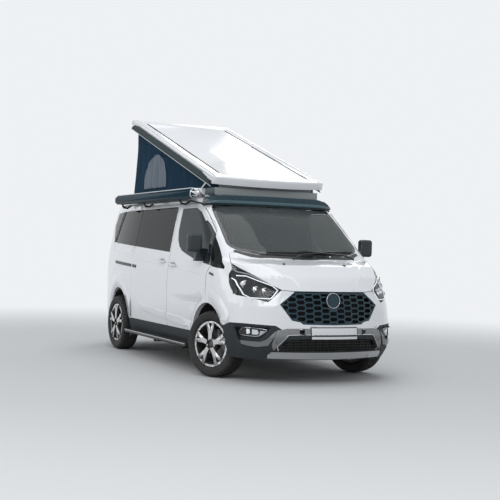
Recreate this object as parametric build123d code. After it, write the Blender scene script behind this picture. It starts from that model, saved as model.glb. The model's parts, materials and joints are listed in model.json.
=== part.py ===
from build123d import *
import os
from math import asin, atan2, cos, degrees, radians, sin, sqrt, tan

# Camper van with a lifting roof, in millimetres: +X forward, +Y to the van's left, +Z up.
# The origin is on the ground, at the middle of the overall length and width.

# Overall sizes
WHEELBASE = 2933
FRONT_AXLE_X = 1493
REAR_AXLE_X = FRONT_AXLE_X - WHEELBASE
TRACK = 1740
WALL = 50            # thickness of a door, side or tailgate, measured level
SEAM = 5             # gap between a moving panel and the body
GLASS = 5            # thickness of every pane
GLASS_INSET = 4      # how far a pane lies under the outer skin
GLASS_GAP = 3        # gap between a pane and the edge of its opening
FIT = 1              # gap between glued or welded pieces whose faces are curved

# Wheels
TYRE_R = 344
TYRE_W = 215
RIM_R = 228
RIM_W = 178
HUB_Z = TYRE_R
SPINDLE_R = 32
SPINDLE_GAP = 0.05
ARCH_R_FRONT = 424
ARCH_BACK_FRONT = 10  # the front arch is centred this far behind the wheel
ARCH_R_REAR = 440
ARCH_RISE_REAR = 12   # and the rear arch this far above it
STEER_REST = 21      # the front wheels stand turned to the left
KINGPIN_Y = 770

# Body heights
SILL_TRIM_TOP = 435
FLOOR_Z = 500
FLOOR_T = 50
ROOF_TOP = 1975

# Columns: z, nose x, tail x, half width, nose bow radius, front corner radius, rear corner radius
SECTIONS = [
    (250, 2392, -2380, 900, 1550, 520, 300),
    (340, 2458, -2440, 935, 1550, 560, 330),
    (480, 2486.5, -2486.5, 956, 1600, 620, 370),
    (600, 2464, -2480, 966, 1700, 620, 380),
    (800, 2430, -2452, 972, 2000, 700, 380),
    (940, 2378, -2446, 972, 2400, 740, 350),
    (1080, 2262, -2440, 965, 2200, 720, 310),
    (1190, 2062, -2434, 953, 2000, 520, 280),
    (1245, 1832, -2430, 943, 2600, 290, 250),
    (1400, 1627, -2414, 914, 3000, 300, 190),
    (1600, 1352, -2386, 876, 3000, 220, 130),
    (1800, 1064, -2344, 832, 3000, 150, 120),
    (1880, 926, -2316, 792, 3000, 140, 110),
    (1935, 770, -2284, 730, 3000, 130, 100),
    (ROOF_TOP, 520, -2220, 630, 3000, 120, 90),
]
TAPER_START = -750   # behind this the sides draw in towards the tail
TAPER_R = 9000


def plan_face(z, nose, tail, half, bow, front_r, rear_r, inset=0.0):
    """Level outline of the body at height z, drawn in by inset."""
    nose, tail, half = nose - inset, tail + inset, half - inset
    front_r, rear_r = max(front_r - inset, 25), max(rear_r - inset, 25)
    bow_x = nose - bow
    corner_x = bow_x + sqrt((bow - front_r) ** 2 - (half - front_r) ** 2)
    corner_y = half - front_r
    reach = bow / (bow - front_r)
    bow_end = (bow_x + (corner_x - bow_x) * reach, corner_y * reach)
    mid = (atan2(corner_y, corner_x - bow_x) + radians(90)) / 2
    corner_mid = (corner_x + front_r * cos(mid), corner_y + front_r * sin(mid))
    taper_y = half - TAPER_R
    tail_x = tail + rear_r
    tail_y = taper_y + sqrt((TAPER_R - rear_r) ** 2 - (tail_x - TAPER_START) ** 2)
    reach = TAPER_R / (TAPER_R - rear_r)
    taper_end = (TAPER_START + (tail_x - TAPER_START) * reach, taper_y + (tail_y - taper_y) * reach)
    turn = atan2(taper_end[1] - taper_y, taper_end[0] - TAPER_START)
    bend = (radians(90) + turn) / 2
    taper_mid = (TAPER_START + TAPER_R * cos(bend), taper_y + TAPER_R * sin(bend))
    bend = (turn + radians(180)) / 2
    rear_mid = (tail_x + rear_r * cos(bend), tail_y + rear_r * sin(bend))

    def right(point):
        return (point[0], -point[1])

    edges = [
        ThreePointArc(right(bow_end), (nose, 0), bow_end),
        ThreePointArc(bow_end, corner_mid, (corner_x, half)),
        Line((corner_x, half), (TAPER_START, half)),
        ThreePointArc((TAPER_START, half), taper_mid, taper_end),
        ThreePointArc(taper_end, rear_mid, (tail, tail_y)),
        Line((tail, tail_y), (tail, -tail_y)),
        ThreePointArc((tail, -tail_y), right(rear_mid), right(taper_end)),
        ThreePointArc(right(taper_end), right(taper_mid), (TAPER_START, -half)),
        Line((TAPER_START, -half), (corner_x, -half)),
        ThreePointArc((corner_x, -half), right(corner_mid), right(bow_end)),
    ]
    return (Pos(0, 0, z) * make_face(edges)).face()


def body_form(inset=0.0, roof_drop=0.0, low=0.0):
    """Closed form of the whole body, drawn in by inset, its top lowered and its foot lengthened."""
    faces = []
    last = len(SECTIONS) - 1
    for index, (z, *sizes) in enumerate(SECTIONS):
        level = z - low if index == 0 else z
        if roof_drop and index >= last - 2:
            level = z - roof_drop * (index - last + 3) / 3
        faces.append(plan_face(level, *sizes, inset=inset))
    return Solid.make_loft([face.outer_wire() for face in faces], ruled=True)


def side_prism(points, near=520, far=1300):
    """Prism over an outline of (x, z) points on the van's right side."""
    face = make_face(Plane.XZ * Polyline(*points, close=True))
    return Pos(0, -near, 0) * extrude(face, far - near, dir=(0, -1, 0))


def edges_prism(edges, near=520, far=1300):
    """The same over edges drawn in (x, z)."""
    face = make_face([Plane.XZ * edge for edge in edges])
    return Pos(0, -near, 0) * extrude(face, far - near, dir=(0, -1, 0))


def front_prism(points, back, front):
    """Prism over an outline of (y, z) points, seen from the front, between two values of x."""
    face = make_face(Plane.YZ * Polyline(*points, close=True))
    return Pos(back, 0, 0) * extrude(face, front - back, dir=(1, 0, 0))


def block(x0, x1, y0, y1, z0, z1):
    return Pos((x0 + x1) / 2, (y0 + y1) / 2, (z0 + z1) / 2) * Box(abs(x1 - x0), abs(y1 - y0), abs(z1 - z0))


def grown(points, by):
    """The outline with every side moved outwards by a width, and its corners kept sharp."""
    pairs = list(zip(points, points[1:] + points[:1]))
    outward = 1 if sum(x0 * z1 - x1 * z0 for (x0, z0), (x1, z1) in pairs) > 0 else -1
    sides = []
    for (x0, z0), (x1, z1) in pairs:
        span = sqrt((x1 - x0) ** 2 + (z1 - z0) ** 2)
        normal = (outward * (z1 - z0) / span, outward * (x0 - x1) / span)
        sides.append((normal, normal[0] * x0 + normal[1] * z0 + by))
    moved = []
    for (n0, d0), (n1, d1) in zip(sides[-1:] + sides[:-1], sides):
        cross = n0[0] * n1[1] - n0[1] * n1[0]
        if abs(cross) < 1e-6:
            moved.append((n1[0] * d1, n1[1] * d1))
            continue
        moved.append(((d0 * n1[1] - d1 * n0[1]) / cross, (n0[0] * d1 - n1[0] * d0) / cross))
    return moved


def mirrored(shape):
    return mirror(shape, about=Plane.XZ)


def drum(x, z, radius, y0, y1):
    """Cylinder across the van."""
    return Pos(x, (y0 + y1) / 2, z) * Rot(90, 0, 0) * Cylinder(radius, abs(y1 - y0))


def both(points):
    """The outline of a right half, (y, z) with y > 0, closed across the middle."""
    return points + [(-y, z) for y, z in reversed(points) if y]


# Outlines in the side view, (x, z), for the van's right side
DOOR_REAR_X = 335
DOOR_TOP_Z = 1828
SIDE_DOOR_REAR_X = -905
ARCH_SEAM = 50       # strip of wing between the front arch and the door
ARCH_X_FRONT = FRONT_AXLE_X - ARCH_BACK_FRONT
ARCH_Z_REAR = HUB_Z + ARCH_RISE_REAR
DOOR_SWEEP_R = ARCH_R_FRONT + ARCH_SEAM
DOOR_SWEEP_TOP = HUB_Z + 0.96 * DOOR_SWEEP_R   # up to here the door follows the arch
DOOR_FRONT_EDGE = [(1436, 949), (1425, 1047), (1461, 1109), (1512, 1150), (1319, 1521), (1203, 1612),
                   (1079, 1696), (959, 1779), (850, DOOR_TOP_Z)]


def arch_point(radius, z):
    """Point behind the front axle on a circle about the arch's centre, at height z."""
    return (ARCH_X_FRONT - sqrt(radius ** 2 - (z - HUB_Z) ** 2), z)


def door_edges(gap=0.0):
    """Edges of the cab door's outline, widened by a gap."""
    sweep = DOOR_SWEEP_R - gap
    low = arch_point(sweep, SILL_TRIM_TOP + SEAM - gap)
    high = arch_point(sweep, DOOR_SWEEP_TOP - gap)
    turn_low = atan2(low[1] - HUB_Z, low[0] - ARCH_X_FRONT) % radians(360)
    turn_high = atan2(high[1] - HUB_Z, high[0] - ARCH_X_FRONT)
    turn = (turn_low + turn_high) / 2
    middle = (ARCH_X_FRONT + sweep * cos(turn), HUB_Z + sweep * sin(turn))
    corners = [arch_point(DOOR_SWEEP_R, DOOR_SWEEP_TOP)] + DOOR_FRONT_EDGE
    corners += [(DOOR_REAR_X, DOOR_TOP_Z), (DOOR_REAR_X, SILL_TRIM_TOP + SEAM)]
    corners.append(arch_point(DOOR_SWEEP_R, SILL_TRIM_TOP + SEAM))
    points = grown(corners, gap)[1:-1]
    path = [high] + points + [low]
    return [ThreePointArc(low, middle, high)] + [Line(start, end) for start, end in zip(path, path[1:])]


DOOR_WINDOW = [(425, 1778), (850, 1778), (965, 1732), (1170, 1592), (1305, 1484), (1372, 1352), (1472, 1160),
               (1270, 1184), (1089, 1207), (815, 1262), (650, 1300), (560, 1345), (480, 1420), (440, 1520)]
QUARTER_LIGHT = [(1345, 1480), (1520, 1340), (1630, 1247), (1748, 1152), (1753, 1128), (1654, 1135),
                 (1535, 1148)]
SIDE_DOOR = [(DOOR_REAR_X - 2 * SEAM, SILL_TRIM_TOP + SEAM), (DOOR_REAR_X - 2 * SEAM, DOOR_TOP_Z),
             (SIDE_DOOR_REAR_X, DOOR_TOP_Z), (SIDE_DOOR_REAR_X, SILL_TRIM_TOP + SEAM)]
BAND_REAR = [(-1735, 1784), (-1958, 1385)]   # rear edge of the dark glass along the side
BAND_FRONT = [(298, 1282), (280, 1797)]
BAND_LAP = 42        # the glass of the band reaches this far over its opening
BAND_SEAM = 3        # and ends this far from the edge of its panel


def on_edge(ends, x):
    """Height at x on the line through two (x, z) points."""
    (x0, z0), (x1, z1) = ends
    return z0 + (z1 - z0) * (x - x0) / (x1 - x0)


def band_part(front, rear):
    """Outline of the band's glass between two values of x, None meaning the band's own end."""
    low = (BAND_REAR[1], BAND_FRONT[0])
    high = (BAND_REAR[0], BAND_FRONT[1])
    ahead = BAND_FRONT if front is None else [(front, on_edge(low, front)), (front, on_edge(high, front))]
    behind = BAND_REAR if rear is None else [(rear, on_edge(high, rear)), (rear, on_edge(low, rear))]
    return ahead + behind


SIDE_PANE = band_part(None, SIDE_DOOR_REAR_X + BAND_SEAM)
REAR_PANE = band_part(SIDE_DOOR_REAR_X - SEAM - BAND_SEAM, None)

# Outlines in the front view, (y, z), right half mirrored by both()
WINDSCREEN = [(0, 1866), (420, 1852), (705, 1815), (733, 1788), (752, 1712), (767, 1544), (782, 1408),
              (784, 1385), (764, 1355), (725, 1330), (660, 1311), (505, 1285), (0, 1275)]
COWL = [(y, z - GLASS_GAP) for y, z in WINDSCREEN[:8:-1]] + [(752, 1322), (745, 1150), (0, 1150)]
LAMP_TOP = [(523, 943), (610, 997), (706, 1067), (801, 1144), (847, 1190)]
BONNET = [(0, 1500), (1100, 1500), (1100, 1190)] + LAMP_TOP[::-1] + [(409, 934), (0, 934)]
BONNET_PLAN = [(2700, 0), (2700, 1100), (1800, 1100), (1793, 847), (1640, 800), (1659, 735), (1706, 668),
               (1748, 600),
               (1777, 511), (1846, 0)]       # seen from above, (x, y)
HEADLAMP = LAMP_TOP + [(1000, 1190), (1000, 875), (884, 875), (828, 865), (658, 819)]
LAMP_REAR = [(1793, 1200), (1793, 1190), (1839, 1126), (1837, 1081), (1856, 1033), (1898, 967), (1962, 903),
             (2004, 875), (2004, 780), (2700, 780), (2700, 1200)]    # seen from the side, (x, z)
GRILLE = [(0, 926), (409, 922), (561, 801), (449, 645), (367, 630), (338, 608), (0, 602)]
GRILLE_ROOM = [(0, 960), (405, 960)] + GRILLE[1:]
AIR_INTAKE = [(0, 464), (306, 464), (505, 451), (567, 372), (563, 343), (0, 343)]
FOG_POD = [(647, 571), (906, 560), (884, 436), (731, 433)]
FOG_DEPTH = 32
SPLIT = [(0, 558), (548, 556), (604, 592), (860, 604), (936, 602), (959, 564), (1200, 564)]
SKID = [(0, 330), (630, 330), (653, 298), (644, 262), (0, 256)]
TAILGATE = [(0, 1868), (560, 1862), (640, 1820), (725, 1300), (742, 600), (720, 560), (0, 560)]
TAIL_WINDOW = [(0, 1790), (560, 1780), (600, 1740), (650, 1330), (610, 1290), (0, 1285)]
TAIL_LAMP = [(752, 1330), (765, 860), (960, 860), (940, 1330)]
TAIL_LAMP_X = -2215
WING_FRONT_X = 1965
WING_TOP_Z = 1108
REAR_BUMPER_TOP = 555
REAR_BUMPER_X = -2090

outer = body_form()
inner = body_form(WALL, roof_drop=35, low=40)
skin_low = body_form(GLASS_INSET, roof_drop=GLASS_INSET, low=10)
skin_deep = body_form(GLASS_INSET + GLASS, roof_drop=GLASS_INSET + GLASS, low=30)
shell = outer - inner
pane = skin_low - skin_deep

front_arch = drum(ARCH_X_FRONT, HUB_Z, ARCH_R_FRONT, -1300, 1300)
rear_arch = drum(REAR_AXLE_X, ARCH_Z_REAR, ARCH_R_REAR, -1300, 1300)
shell = shell - front_arch - rear_arch

# Front panels, all seen from the front
windscreen_hole = front_prism(both(WINDSCREEN), 700, 2300)
windscreen = pane & front_prism(grown(both(WINDSCREEN), -GLASS_GAP), 700, 2300)


def plan_outline(points):
    """Whole outline of a half seen from above, (x, y) with y > 0."""
    return points + [(x, -y) for x, y in reversed(points) if y]


def top_prism(outline, low, high):
    """Prism over an outline seen from above, between two heights."""
    return Pos(0, 0, low) * extrude(make_face(Polyline(*outline, close=True)), high - low, dir=(0, 0, 1))


def lamp_prism():
    """Room of the right headlamp: its outline from the front, cut back by its outline from the side."""
    seen_from_front = front_prism([(-y, z) for y, z in HEADLAMP], 1700, 2700)
    return seen_from_front & side_prism(LAMP_REAR, 400)


bonnet_prism = front_prism(both(BONNET), 1500, 2700) & top_prism(plan_outline(BONNET_PLAN), 800, 1600)
bonnet_room = (front_prism(grown(both(BONNET), SEAM), 1500, 2700)
               & top_prism(grown(plan_outline(BONNET_PLAN), SEAM), 800, 1600))
bonnet = shell & bonnet_prism
cowl_prism = front_prism(both(COWL), 1500, 2300)
cowl_panel = (shell & cowl_prism) - bonnet_room

head_right = lamp_prism()
head_left = mirrored(head_right)
headlamps = (shell & head_right) + (shell & head_left)

front_zone = block(WING_FRONT_X, 2700, -1200, 1200, 200, 1250)
low_zone = front_prism(both(SPLIT + [(1200, 100), (0, 100)]), FRONT_AXLE_X, 2700)
high_zone = front_prism(both([(0, 1400), (1200, 1400)] + SPLIT[::-1]), WING_FRONT_X, 2700)
front_shell = shell - bonnet_room - head_right - head_left - windscreen_hole - cowl_prism
front_bumper = (front_shell & front_zone & high_zone) - front_prism(both(GRILLE_ROOM), 2100, 2700)
bumper_cladding = (front_shell & low_zone) - front_prism(both(AIR_INTAKE), 2100, 2700)
pod = front_prism(FOG_POD, 1900, 2700) - body_form(FOG_DEPTH)
bumper_cladding = bumper_cladding - pod - mirrored(pod)


def keep_largest(shape, count=1):
    solids = sorted(shape.solids(), key=lambda solid: -solid.volume)[:count]
    return solids[0] if count == 1 else Compound(solids)


front_bumper = keep_largest(front_bumper)
bumper_cladding = keep_largest(bumper_cladding)
bonnet = keep_largest(bonnet)

# Grille: a thin framed plate behind the opening, pierced by a stretched honeycomb of six-sided cells
GRILLE_DEPTH = 10
GRILLE_T = 22
GRILLE_BAR = 15
GRILLE_RIM = 16
CELL_TIP = 106       # width of a cell with its bars, tip to tip
CELL_FLAT = 68       # width of its level edges
CELL_H = 55
CELL_MID_Z = 770     # a row of cells has its middle here
CELL_COLUMNS = 6     # columns of cells on each side of the middle one
CELL_ROWS = 4        # rows above and below that height
CELL_MIN_AREA = 250  # a smaller piece of a cell at the rim stays closed
GRILLE_FROM_X = 2150
GRILLE_TO_X = 2600
BADGE_R = 82         # no cell is cut within this distance of the blank boss
BADGE_Z = 845
grille_form = body_form(GRILLE_DEPTH) - body_form(GRILLE_DEPTH + GRILLE_T)
grille = grille_form & front_prism(both(GRILLE), GRILLE_FROM_X, GRILLE_TO_X)
cell_field = make_face(Plane.YZ * Polyline(*grown(both(GRILLE), -GRILLE_RIM), close=True))
pitch_y = (CELL_TIP + CELL_FLAT) / 2
cells = []
for column in range(-CELL_COLUMNS, CELL_COLUMNS + 1):
    shift = CELL_H / 2 if column % 2 else 0
    for row in range(-CELL_ROWS, CELL_ROWS + 1):
        y = column * pitch_y
        z = CELL_MID_Z + row * CELL_H + shift
        if y ** 2 + (z - BADGE_Z) ** 2 < BADGE_R ** 2:
            continue
        top = z + CELL_H / 2
        foot = z - CELL_H / 2
        tile = [(y - CELL_TIP / 2, z), (y - CELL_FLAT / 2, top), (y + CELL_FLAT / 2, top),
                (y + CELL_TIP / 2, z), (y + CELL_FLAT / 2, foot), (y - CELL_FLAT / 2, foot)]
        cell = make_face(Plane.YZ * Polyline(*grown(tile, -GRILLE_BAR / 2), close=True)) & cell_field
        if cell is None:
            continue
        for face in cell.faces():
            if face.area > CELL_MIN_AREA:
                bar = extrude(face, GRILLE_TO_X - GRILLE_FROM_X, dir=(1, 0, 0))
                cells.append(Pos(GRILLE_FROM_X, 0, 0) * bar)
grille = grille - cells

# Side panels of the right side, mirrored for the left
half_space = block(-2600, WING_FRONT_X, -1200, -500, 200, 2100)
side = (shell & half_space) - bonnet_room - head_right - windscreen_hole - cowl_prism - low_zone
roof_zone = block(-2600, 1400, -700, 700, 1830, 2100)
tailgate_prism = front_prism(both(TAILGATE), -2700, -2150)
tailgate_room = front_prism(grown(both(TAILGATE), SEAM), -2700, -2150)
roof_panel = (shell & roof_zone) - windscreen_hole - tailgate_room
rear_bumper_room = block(-2700, REAR_BUMPER_X, -1200, 1200, 200, REAR_BUMPER_TOP)
rear_bumper = shell & rear_bumper_room
sill_zone = block(REAR_AXLE_X, FRONT_AXLE_X, -1200, -600, 200, SILL_TRIM_TOP)
sill_right = shell & sill_zone
side = side - roof_zone - tailgate_room - rear_bumper_room - sill_zone

door_prism = edges_prism(door_edges())
door_room = edges_prism(door_edges(SEAM))
door_right = (side & door_prism) - side_prism(DOOR_WINDOW)
side = side - door_room - side_prism(QUARTER_LIGHT, 760)

# The dark band of glass along the side lies in a shallow step of the skin, over smaller openings
band_step = outer - body_form(GLASS_INSET + GLASS + FIT, roof_drop=40, low=30)
side = side - (band_step & side_prism(grown(band_part(None, None), GLASS_GAP)))
side_opening = side_prism(grown(SIDE_PANE, -BAND_LAP))
rear_opening = side_prism(grown(REAR_PANE, -BAND_LAP))
sliding_door = (side & side_prism(SIDE_DOOR)) - side_opening
wing_zone = block(1000, WING_FRONT_X, -1200, -500, 200, WING_TOP_Z)
wing_right = keep_largest(side & wing_zone)
side = side - wing_zone - rear_opening
tail_lamp_prism = front_prism([(-y, z) for y, z in TAIL_LAMP], -2600, TAIL_LAMP_X)
tail_lamp_right = shell & tail_lamp_prism
side = side - tail_lamp_prism

body_left = keep_largest(mirrored(side - side_opening))
body_right = keep_largest(side - side_prism(grown(SIDE_DOOR, SEAM)))
door_right = keep_largest(door_right)
sliding_door = keep_largest(sliding_door)


def side_pane(points, near=520):
    return pane & side_prism(points, near)


door_glass_right = side_pane(grown(DOOR_WINDOW, -GLASS_GAP))
side_panes = [side_pane(grown(QUARTER_LIGHT, -GLASS_GAP), 760), side_pane(SIDE_PANE), side_pane(REAR_PANE)]
side_glass = Compound([solid for part in side_panes for solid in part.solids() + mirrored(part).solids()])

tailgate = keep_largest((shell & tailgate_prism) - front_prism(both(TAIL_WINDOW), -2700, -2150))
tailgate_glass = pane & front_prism(grown(both(TAIL_WINDOW), -GLASS_GAP), -2700, -2150)

# Roof opening into the sleeping space
ROOF_HOLE = (-1180, 420, 480)
roof_panel = roof_panel - block(ROOF_HOLE[0], ROOF_HOLE[1], -ROOF_HOLE[2], ROOF_HOLE[2], 1800, 2100)
roof_panel = keep_largest(roof_panel)

# Floor, sills, bulkhead and chassis rails
floor_form = body_form(WALL + FIT, roof_drop=40, low=60)
floor_top = FLOOR_Z + FLOOR_T
floor_plate = floor_form & block(-2380, 1180, -1000, 1000, FLOOR_Z, floor_top)
bulkhead = floor_form & block(1180, 1240, -1000, 1000, 440, 1225)
floor_pan = floor_plate + bulkhead - front_arch - rear_arch
RAIL_Y = 430
for rail_y in (-RAIL_Y, RAIL_Y):
    floor_pan += block(1240, 2290, rail_y - 40, rail_y + 40, 470, 590)
    floor_pan += block(-2380, 1240, rail_y - 40, rail_y + 40, FLOOR_Z - 80, FLOOR_Z)
floor_pan += block(2230, 2290, -520, 520, 470, 590)
floor_pan += block(-2380, -2320, -520, 520, FLOOR_Z - 80, FLOOR_Z)

# Threaded sockets for the towing eye, and pads for a jack
TOW_R = 8
TOW_DEPTH = 50
TOW_TUBE_R = 18
TOW_HOLE_R = 24
TOW_Y = -350
FRONT_TOW = (2400, 530)
REAR_TOW = (-2400, 460)
TOW_HATCH = 26       # half width of the square opening in the rear bumper
JOIN_LINE = 1        # width of the lines where the rear bumper's mouldings meet


def along(x0, x1, y, z, radius):
    """Cylinder along the van."""
    return Pos((x0 + x1) / 2, y, z) * Rot(0, 90, 0) * Cylinder(radius, abs(x1 - x0))


floor_pan += along(2285, FRONT_TOW[0], TOW_Y, FRONT_TOW[1], TOW_TUBE_R)
floor_pan += along(REAR_TOW[0], -2375, TOW_Y, REAR_TOW[1], TOW_TUBE_R)
floor_pan -= along(FRONT_TOW[0] - TOW_DEPTH, FRONT_TOW[0], TOW_Y, FRONT_TOW[1], TOW_R)
floor_pan -= along(REAR_TOW[0], REAR_TOW[0] + TOW_DEPTH, TOW_Y, REAR_TOW[1], TOW_R)
bumper_cladding -= along(2300, 2500, TOW_Y, FRONT_TOW[1], TOW_HOLE_R)
hatch_y0, hatch_y1 = TOW_Y - TOW_HATCH, TOW_Y + TOW_HATCH
hatch_z0, hatch_z1 = REAR_TOW[1] - TOW_HATCH, REAR_TOW[1] + TOW_HATCH
rear_bumper -= block(-2500, -2382, hatch_y0, hatch_y1, hatch_z0, hatch_z1)
rear_bumper -= block(-2700, REAR_BUMPER_X, -1200, 1200, hatch_z1, hatch_z1 + JOIN_LINE)
for line_y in (hatch_y0 - JOIN_LINE, hatch_y1):
    rear_bumper -= block(-2700, REAR_BUMPER_X, line_y, line_y + JOIN_LINE, 200, hatch_z1)
rear_bumper = Compound(rear_bumper.solids())
JACK_Z = 330
for pad_x in (-740, 860):
    for sign in (-1, 1):
        floor_pan += block(pad_x, pad_x + 80, sign * 780, sign * 860, JACK_Z, FLOOR_Z)
floor_pan = keep_largest(floor_pan)

# Arch liners: quarter-round tubs over each wheel
LINER_T = 6


def liner(x, z, radius, y0, y1):
    tub = drum(x, z, radius, y0, y1) - drum(x, z, radius - LINER_T, y0, y1)
    tub = tub & block(x - 500, x + 500, y0 - 5, y1 + 5, z + 60, z + 600)
    return tub


front_liner = liner(ARCH_X_FRONT, HUB_Z, ARCH_R_FRONT, -900, -520)
rear_liner = liner(REAR_AXLE_X, ARCH_Z_REAR, ARCH_R_REAR, -895, -560)
rear_wall = drum(REAR_AXLE_X, ARCH_Z_REAR, ARCH_R_REAR, -560 - LINER_T, -560)
rear_liner = rear_liner + (rear_wall & block(-2000, 0, -570, -550, ARCH_Z_REAR + 60, 900))
arch_liners = Compound([s for liner in (front_liner, rear_liner)
                        for s in liner.solids() + mirrored(liner).solids()])


# Wheels, drawn about the origin with the outer side at +Y
def wheel_rim():
    half = RIM_W / 2
    barrel = [(RIM_R - 22, -half), (RIM_R + 8, -half), (RIM_R + 8, -half + 8), (RIM_R - 6, -half + 16),
              (RIM_R - 6, half - 16), (RIM_R + 8, half - 8), (RIM_R + 8, half), (RIM_R - 14, half),
              (RIM_R - 16, half - 30), (RIM_R - 18, -half + 8)]
    turned = revolve(make_face(Polyline(*barrel, close=True)), Axis.Y)
    hub = Rot(90, 0, 0) * Cylinder(72, 46)
    hub = Pos(0, 52, 0) * hub
    spokes = []
    for index in range(5):
        arm = Polyline((-22, 50), (-26, 105), (-62, RIM_R - 10), (-24, RIM_R - 6), (0, 142), (24, RIM_R - 6),
                       (62, RIM_R - 10), (26, 105), (22, 50), close=True)
        web = extrude(make_face(Plane.XZ * arm), 26)
        spokes.append(Rot(0, index * 72, 0) * Pos(0, 78, 0) * web)
    body = turned + hub
    for web in spokes:
        body += web
    bore = Rot(90, 0, 0) * Cylinder(SPINDLE_R + SPINDLE_GAP, 400)
    disc = Pos(0, -12, 0) * Rot(90, 0, 0) * Cylinder(150, 24)
    neck = Pos(0, 14, 0) * Rot(90, 0, 0) * Cylinder(70, 40)
    return body + disc + neck - bore


def wheel_tyre():
    half, crown = TYRE_W / 2, TYRE_R
    bead = RIM_R + 8
    inside = RIM_W / 2
    edges = [
        Line((bead, -inside + 2), (bead, inside - 2)),
        Line((bead, inside - 2), (bead + 16, inside + 8)),
        ThreePointArc((bead + 16, inside + 8), (bead + 52, half), (crown - 22, half - 12)),
        ThreePointArc((crown - 22, half - 12), (crown - 7, half - 26), (crown, half - 48)),
        Line((crown, half - 48), (crown, 48 - half)),
        ThreePointArc((crown, 48 - half), (crown - 7, 26 - half), (crown - 22, 12 - half)),
        ThreePointArc((crown - 22, 12 - half), (bead + 52, -half), (bead + 16, -inside - 8)),
        Line((bead + 16, -inside - 8), (bead, -inside + 2)),
    ]
    return revolve(make_face(edges), Axis.Y)


rim_blank = wheel_rim()
tyre_blank = wheel_tyre()


def placed(shape, x, side_y, turn=0):
    """A wheel's piece on its corner: side_y is the wheel centre, and turn swings it about the kingpin."""
    facing = shape if side_y > 0 else Rot(0, 0, 180) * shape
    pin_y = KINGPIN_Y if side_y > 0 else -KINGPIN_Y
    swung = Pos(x, pin_y, 0) * Rot(0, 0, turn) * Pos(0, side_y - pin_y, HUB_Z) * facing
    return swung


# Knuckle: upright with the wheel's spindle, and a pin above and below on the steering axis
PIN_R = 12
PIN_GAP = 0.05
ARM_RISE = 150       # height of each wishbone above and below the wheel centre
ARM_T = 30
ARM_PLAY = 1


def knuckle_blank():
    """Drawn about the wheel centre, with the spindle towards +Y."""
    spindle = Pos(0, -2, 0) * Rot(90, 0, 0) * Cylinder(SPINDLE_R, 118)
    carrier = Pos(0, -62, 0) * Rot(90, 0, 0) * Cylinder(58, 64)
    pin_y = KINGPIN_Y - TRACK / 2
    tall = ARM_RISE - ARM_T / 2 - ARM_PLAY
    upright = block(-24, 24, pin_y - 22, pin_y + 22, -tall, tall)
    pins = Pos(0, pin_y, 0) * Cylinder(PIN_R, 2 * (ARM_RISE + ARM_T / 2 + 6))
    lug = block(-140, 0, pin_y - 22, pin_y - 2, -30, 0)
    return spindle + carrier + upright + pins + lug


WHEEL_PLACES = [
    ("front_left", FRONT_AXLE_X, TRACK / 2, STEER_REST),
    ("front_right", FRONT_AXLE_X, -TRACK / 2, STEER_REST),
    ("rear_left", REAR_AXLE_X, TRACK / 2, 0),
    ("rear_right", REAR_AXLE_X, -TRACK / 2, 0),
]
parts = {}
for place, axle_x, centre_y, turn in WHEEL_PLACES:
    parts["rim_" + place] = placed(rim_blank, axle_x, centre_y, turn)
    parts["tyre_" + place] = placed(tyre_blank, axle_x, centre_y, turn)
    if turn:
        parts["knuckle_" + place[6:]] = placed(knuckle_blank(), axle_x, centre_y, turn)

# Front subframe: cross-member, two wishbones a side, damper and its tower
SUBFRAME_Y = 430
DAMPER_Y = 505
front_subframe = block(1390, 1600, -SUBFRAME_Y, SUBFRAME_Y, 330, 400)
for sign in (-1, 1):
    for level in (HUB_Z - ARM_RISE, HUB_Z + ARM_RISE):
        root_y = SUBFRAME_Y - 5 if level < HUB_Z else RAIL_Y + 45
        outline = Polyline((FRONT_AXLE_X - 95, sign * root_y), (FRONT_AXLE_X - 32, sign * (KINGPIN_Y - 60)),
                           (FRONT_AXLE_X - 24, sign * (KINGPIN_Y + 22)),
                           (FRONT_AXLE_X + 24, sign * (KINGPIN_Y + 22)),
                           (FRONT_AXLE_X + 32, sign * (KINGPIN_Y - 60)),
                           (FRONT_AXLE_X + 95, sign * root_y), close=True)
        wishbone = extrude(make_face(outline), ARM_T / 2, both=True)
        pin_hole = Pos(FRONT_AXLE_X, sign * KINGPIN_Y, 0) * Cylinder(PIN_R + PIN_GAP, 100)
        front_subframe += Pos(0, 0, level) * (wishbone - pin_hole)
    low = HUB_Z - ARM_RISE - ARM_T / 2
    front_subframe += block(1398, 1588, sign * 385, sign * SUBFRAME_Y, low, 345)
    front_subframe += block(1398, 1588, sign * 400, sign * SUBFRAME_Y, 395, 470)
    front_subframe += block(1398, 1588, sign * 470, sign * 490, 470, 640)
    front_subframe += Pos(FRONT_AXLE_X, sign * DAMPER_Y, (low + 640) / 2) * Cylinder(28, 640 - low)
    front_subframe += block(1398, 1588, sign * 390, sign * 560, 630, 650)
    front_subframe += block(1398, 1588, sign * 390, sign * 470, 590, 635)

# Rear beam axle with spindles
rear_axle = drum(REAR_AXLE_X, HUB_Z, 42, -TRACK / 2 + 60, TRACK / 2 - 60)
for sign in (-1, 1):
    centre = sign * TRACK / 2
    rear_axle += drum(REAR_AXLE_X, HUB_Z, 60, centre - sign * 74, centre - sign * 30)
    rear_axle += drum(REAR_AXLE_X, HUB_Z, SPINDLE_R, centre - sign * 60, centre + sign * 57)
    rear_axle += block(REAR_AXLE_X - 480, REAR_AXLE_X + 560, sign * 400, sign * 460, HUB_Z + 36, HUB_Z + 50)
    for end_x in (REAR_AXLE_X - 480, REAR_AXLE_X + 520):
        rear_axle += block(end_x, end_x + 40, sign * 400, sign * 460, HUB_Z + 40, FLOOR_Z - 80)

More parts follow.
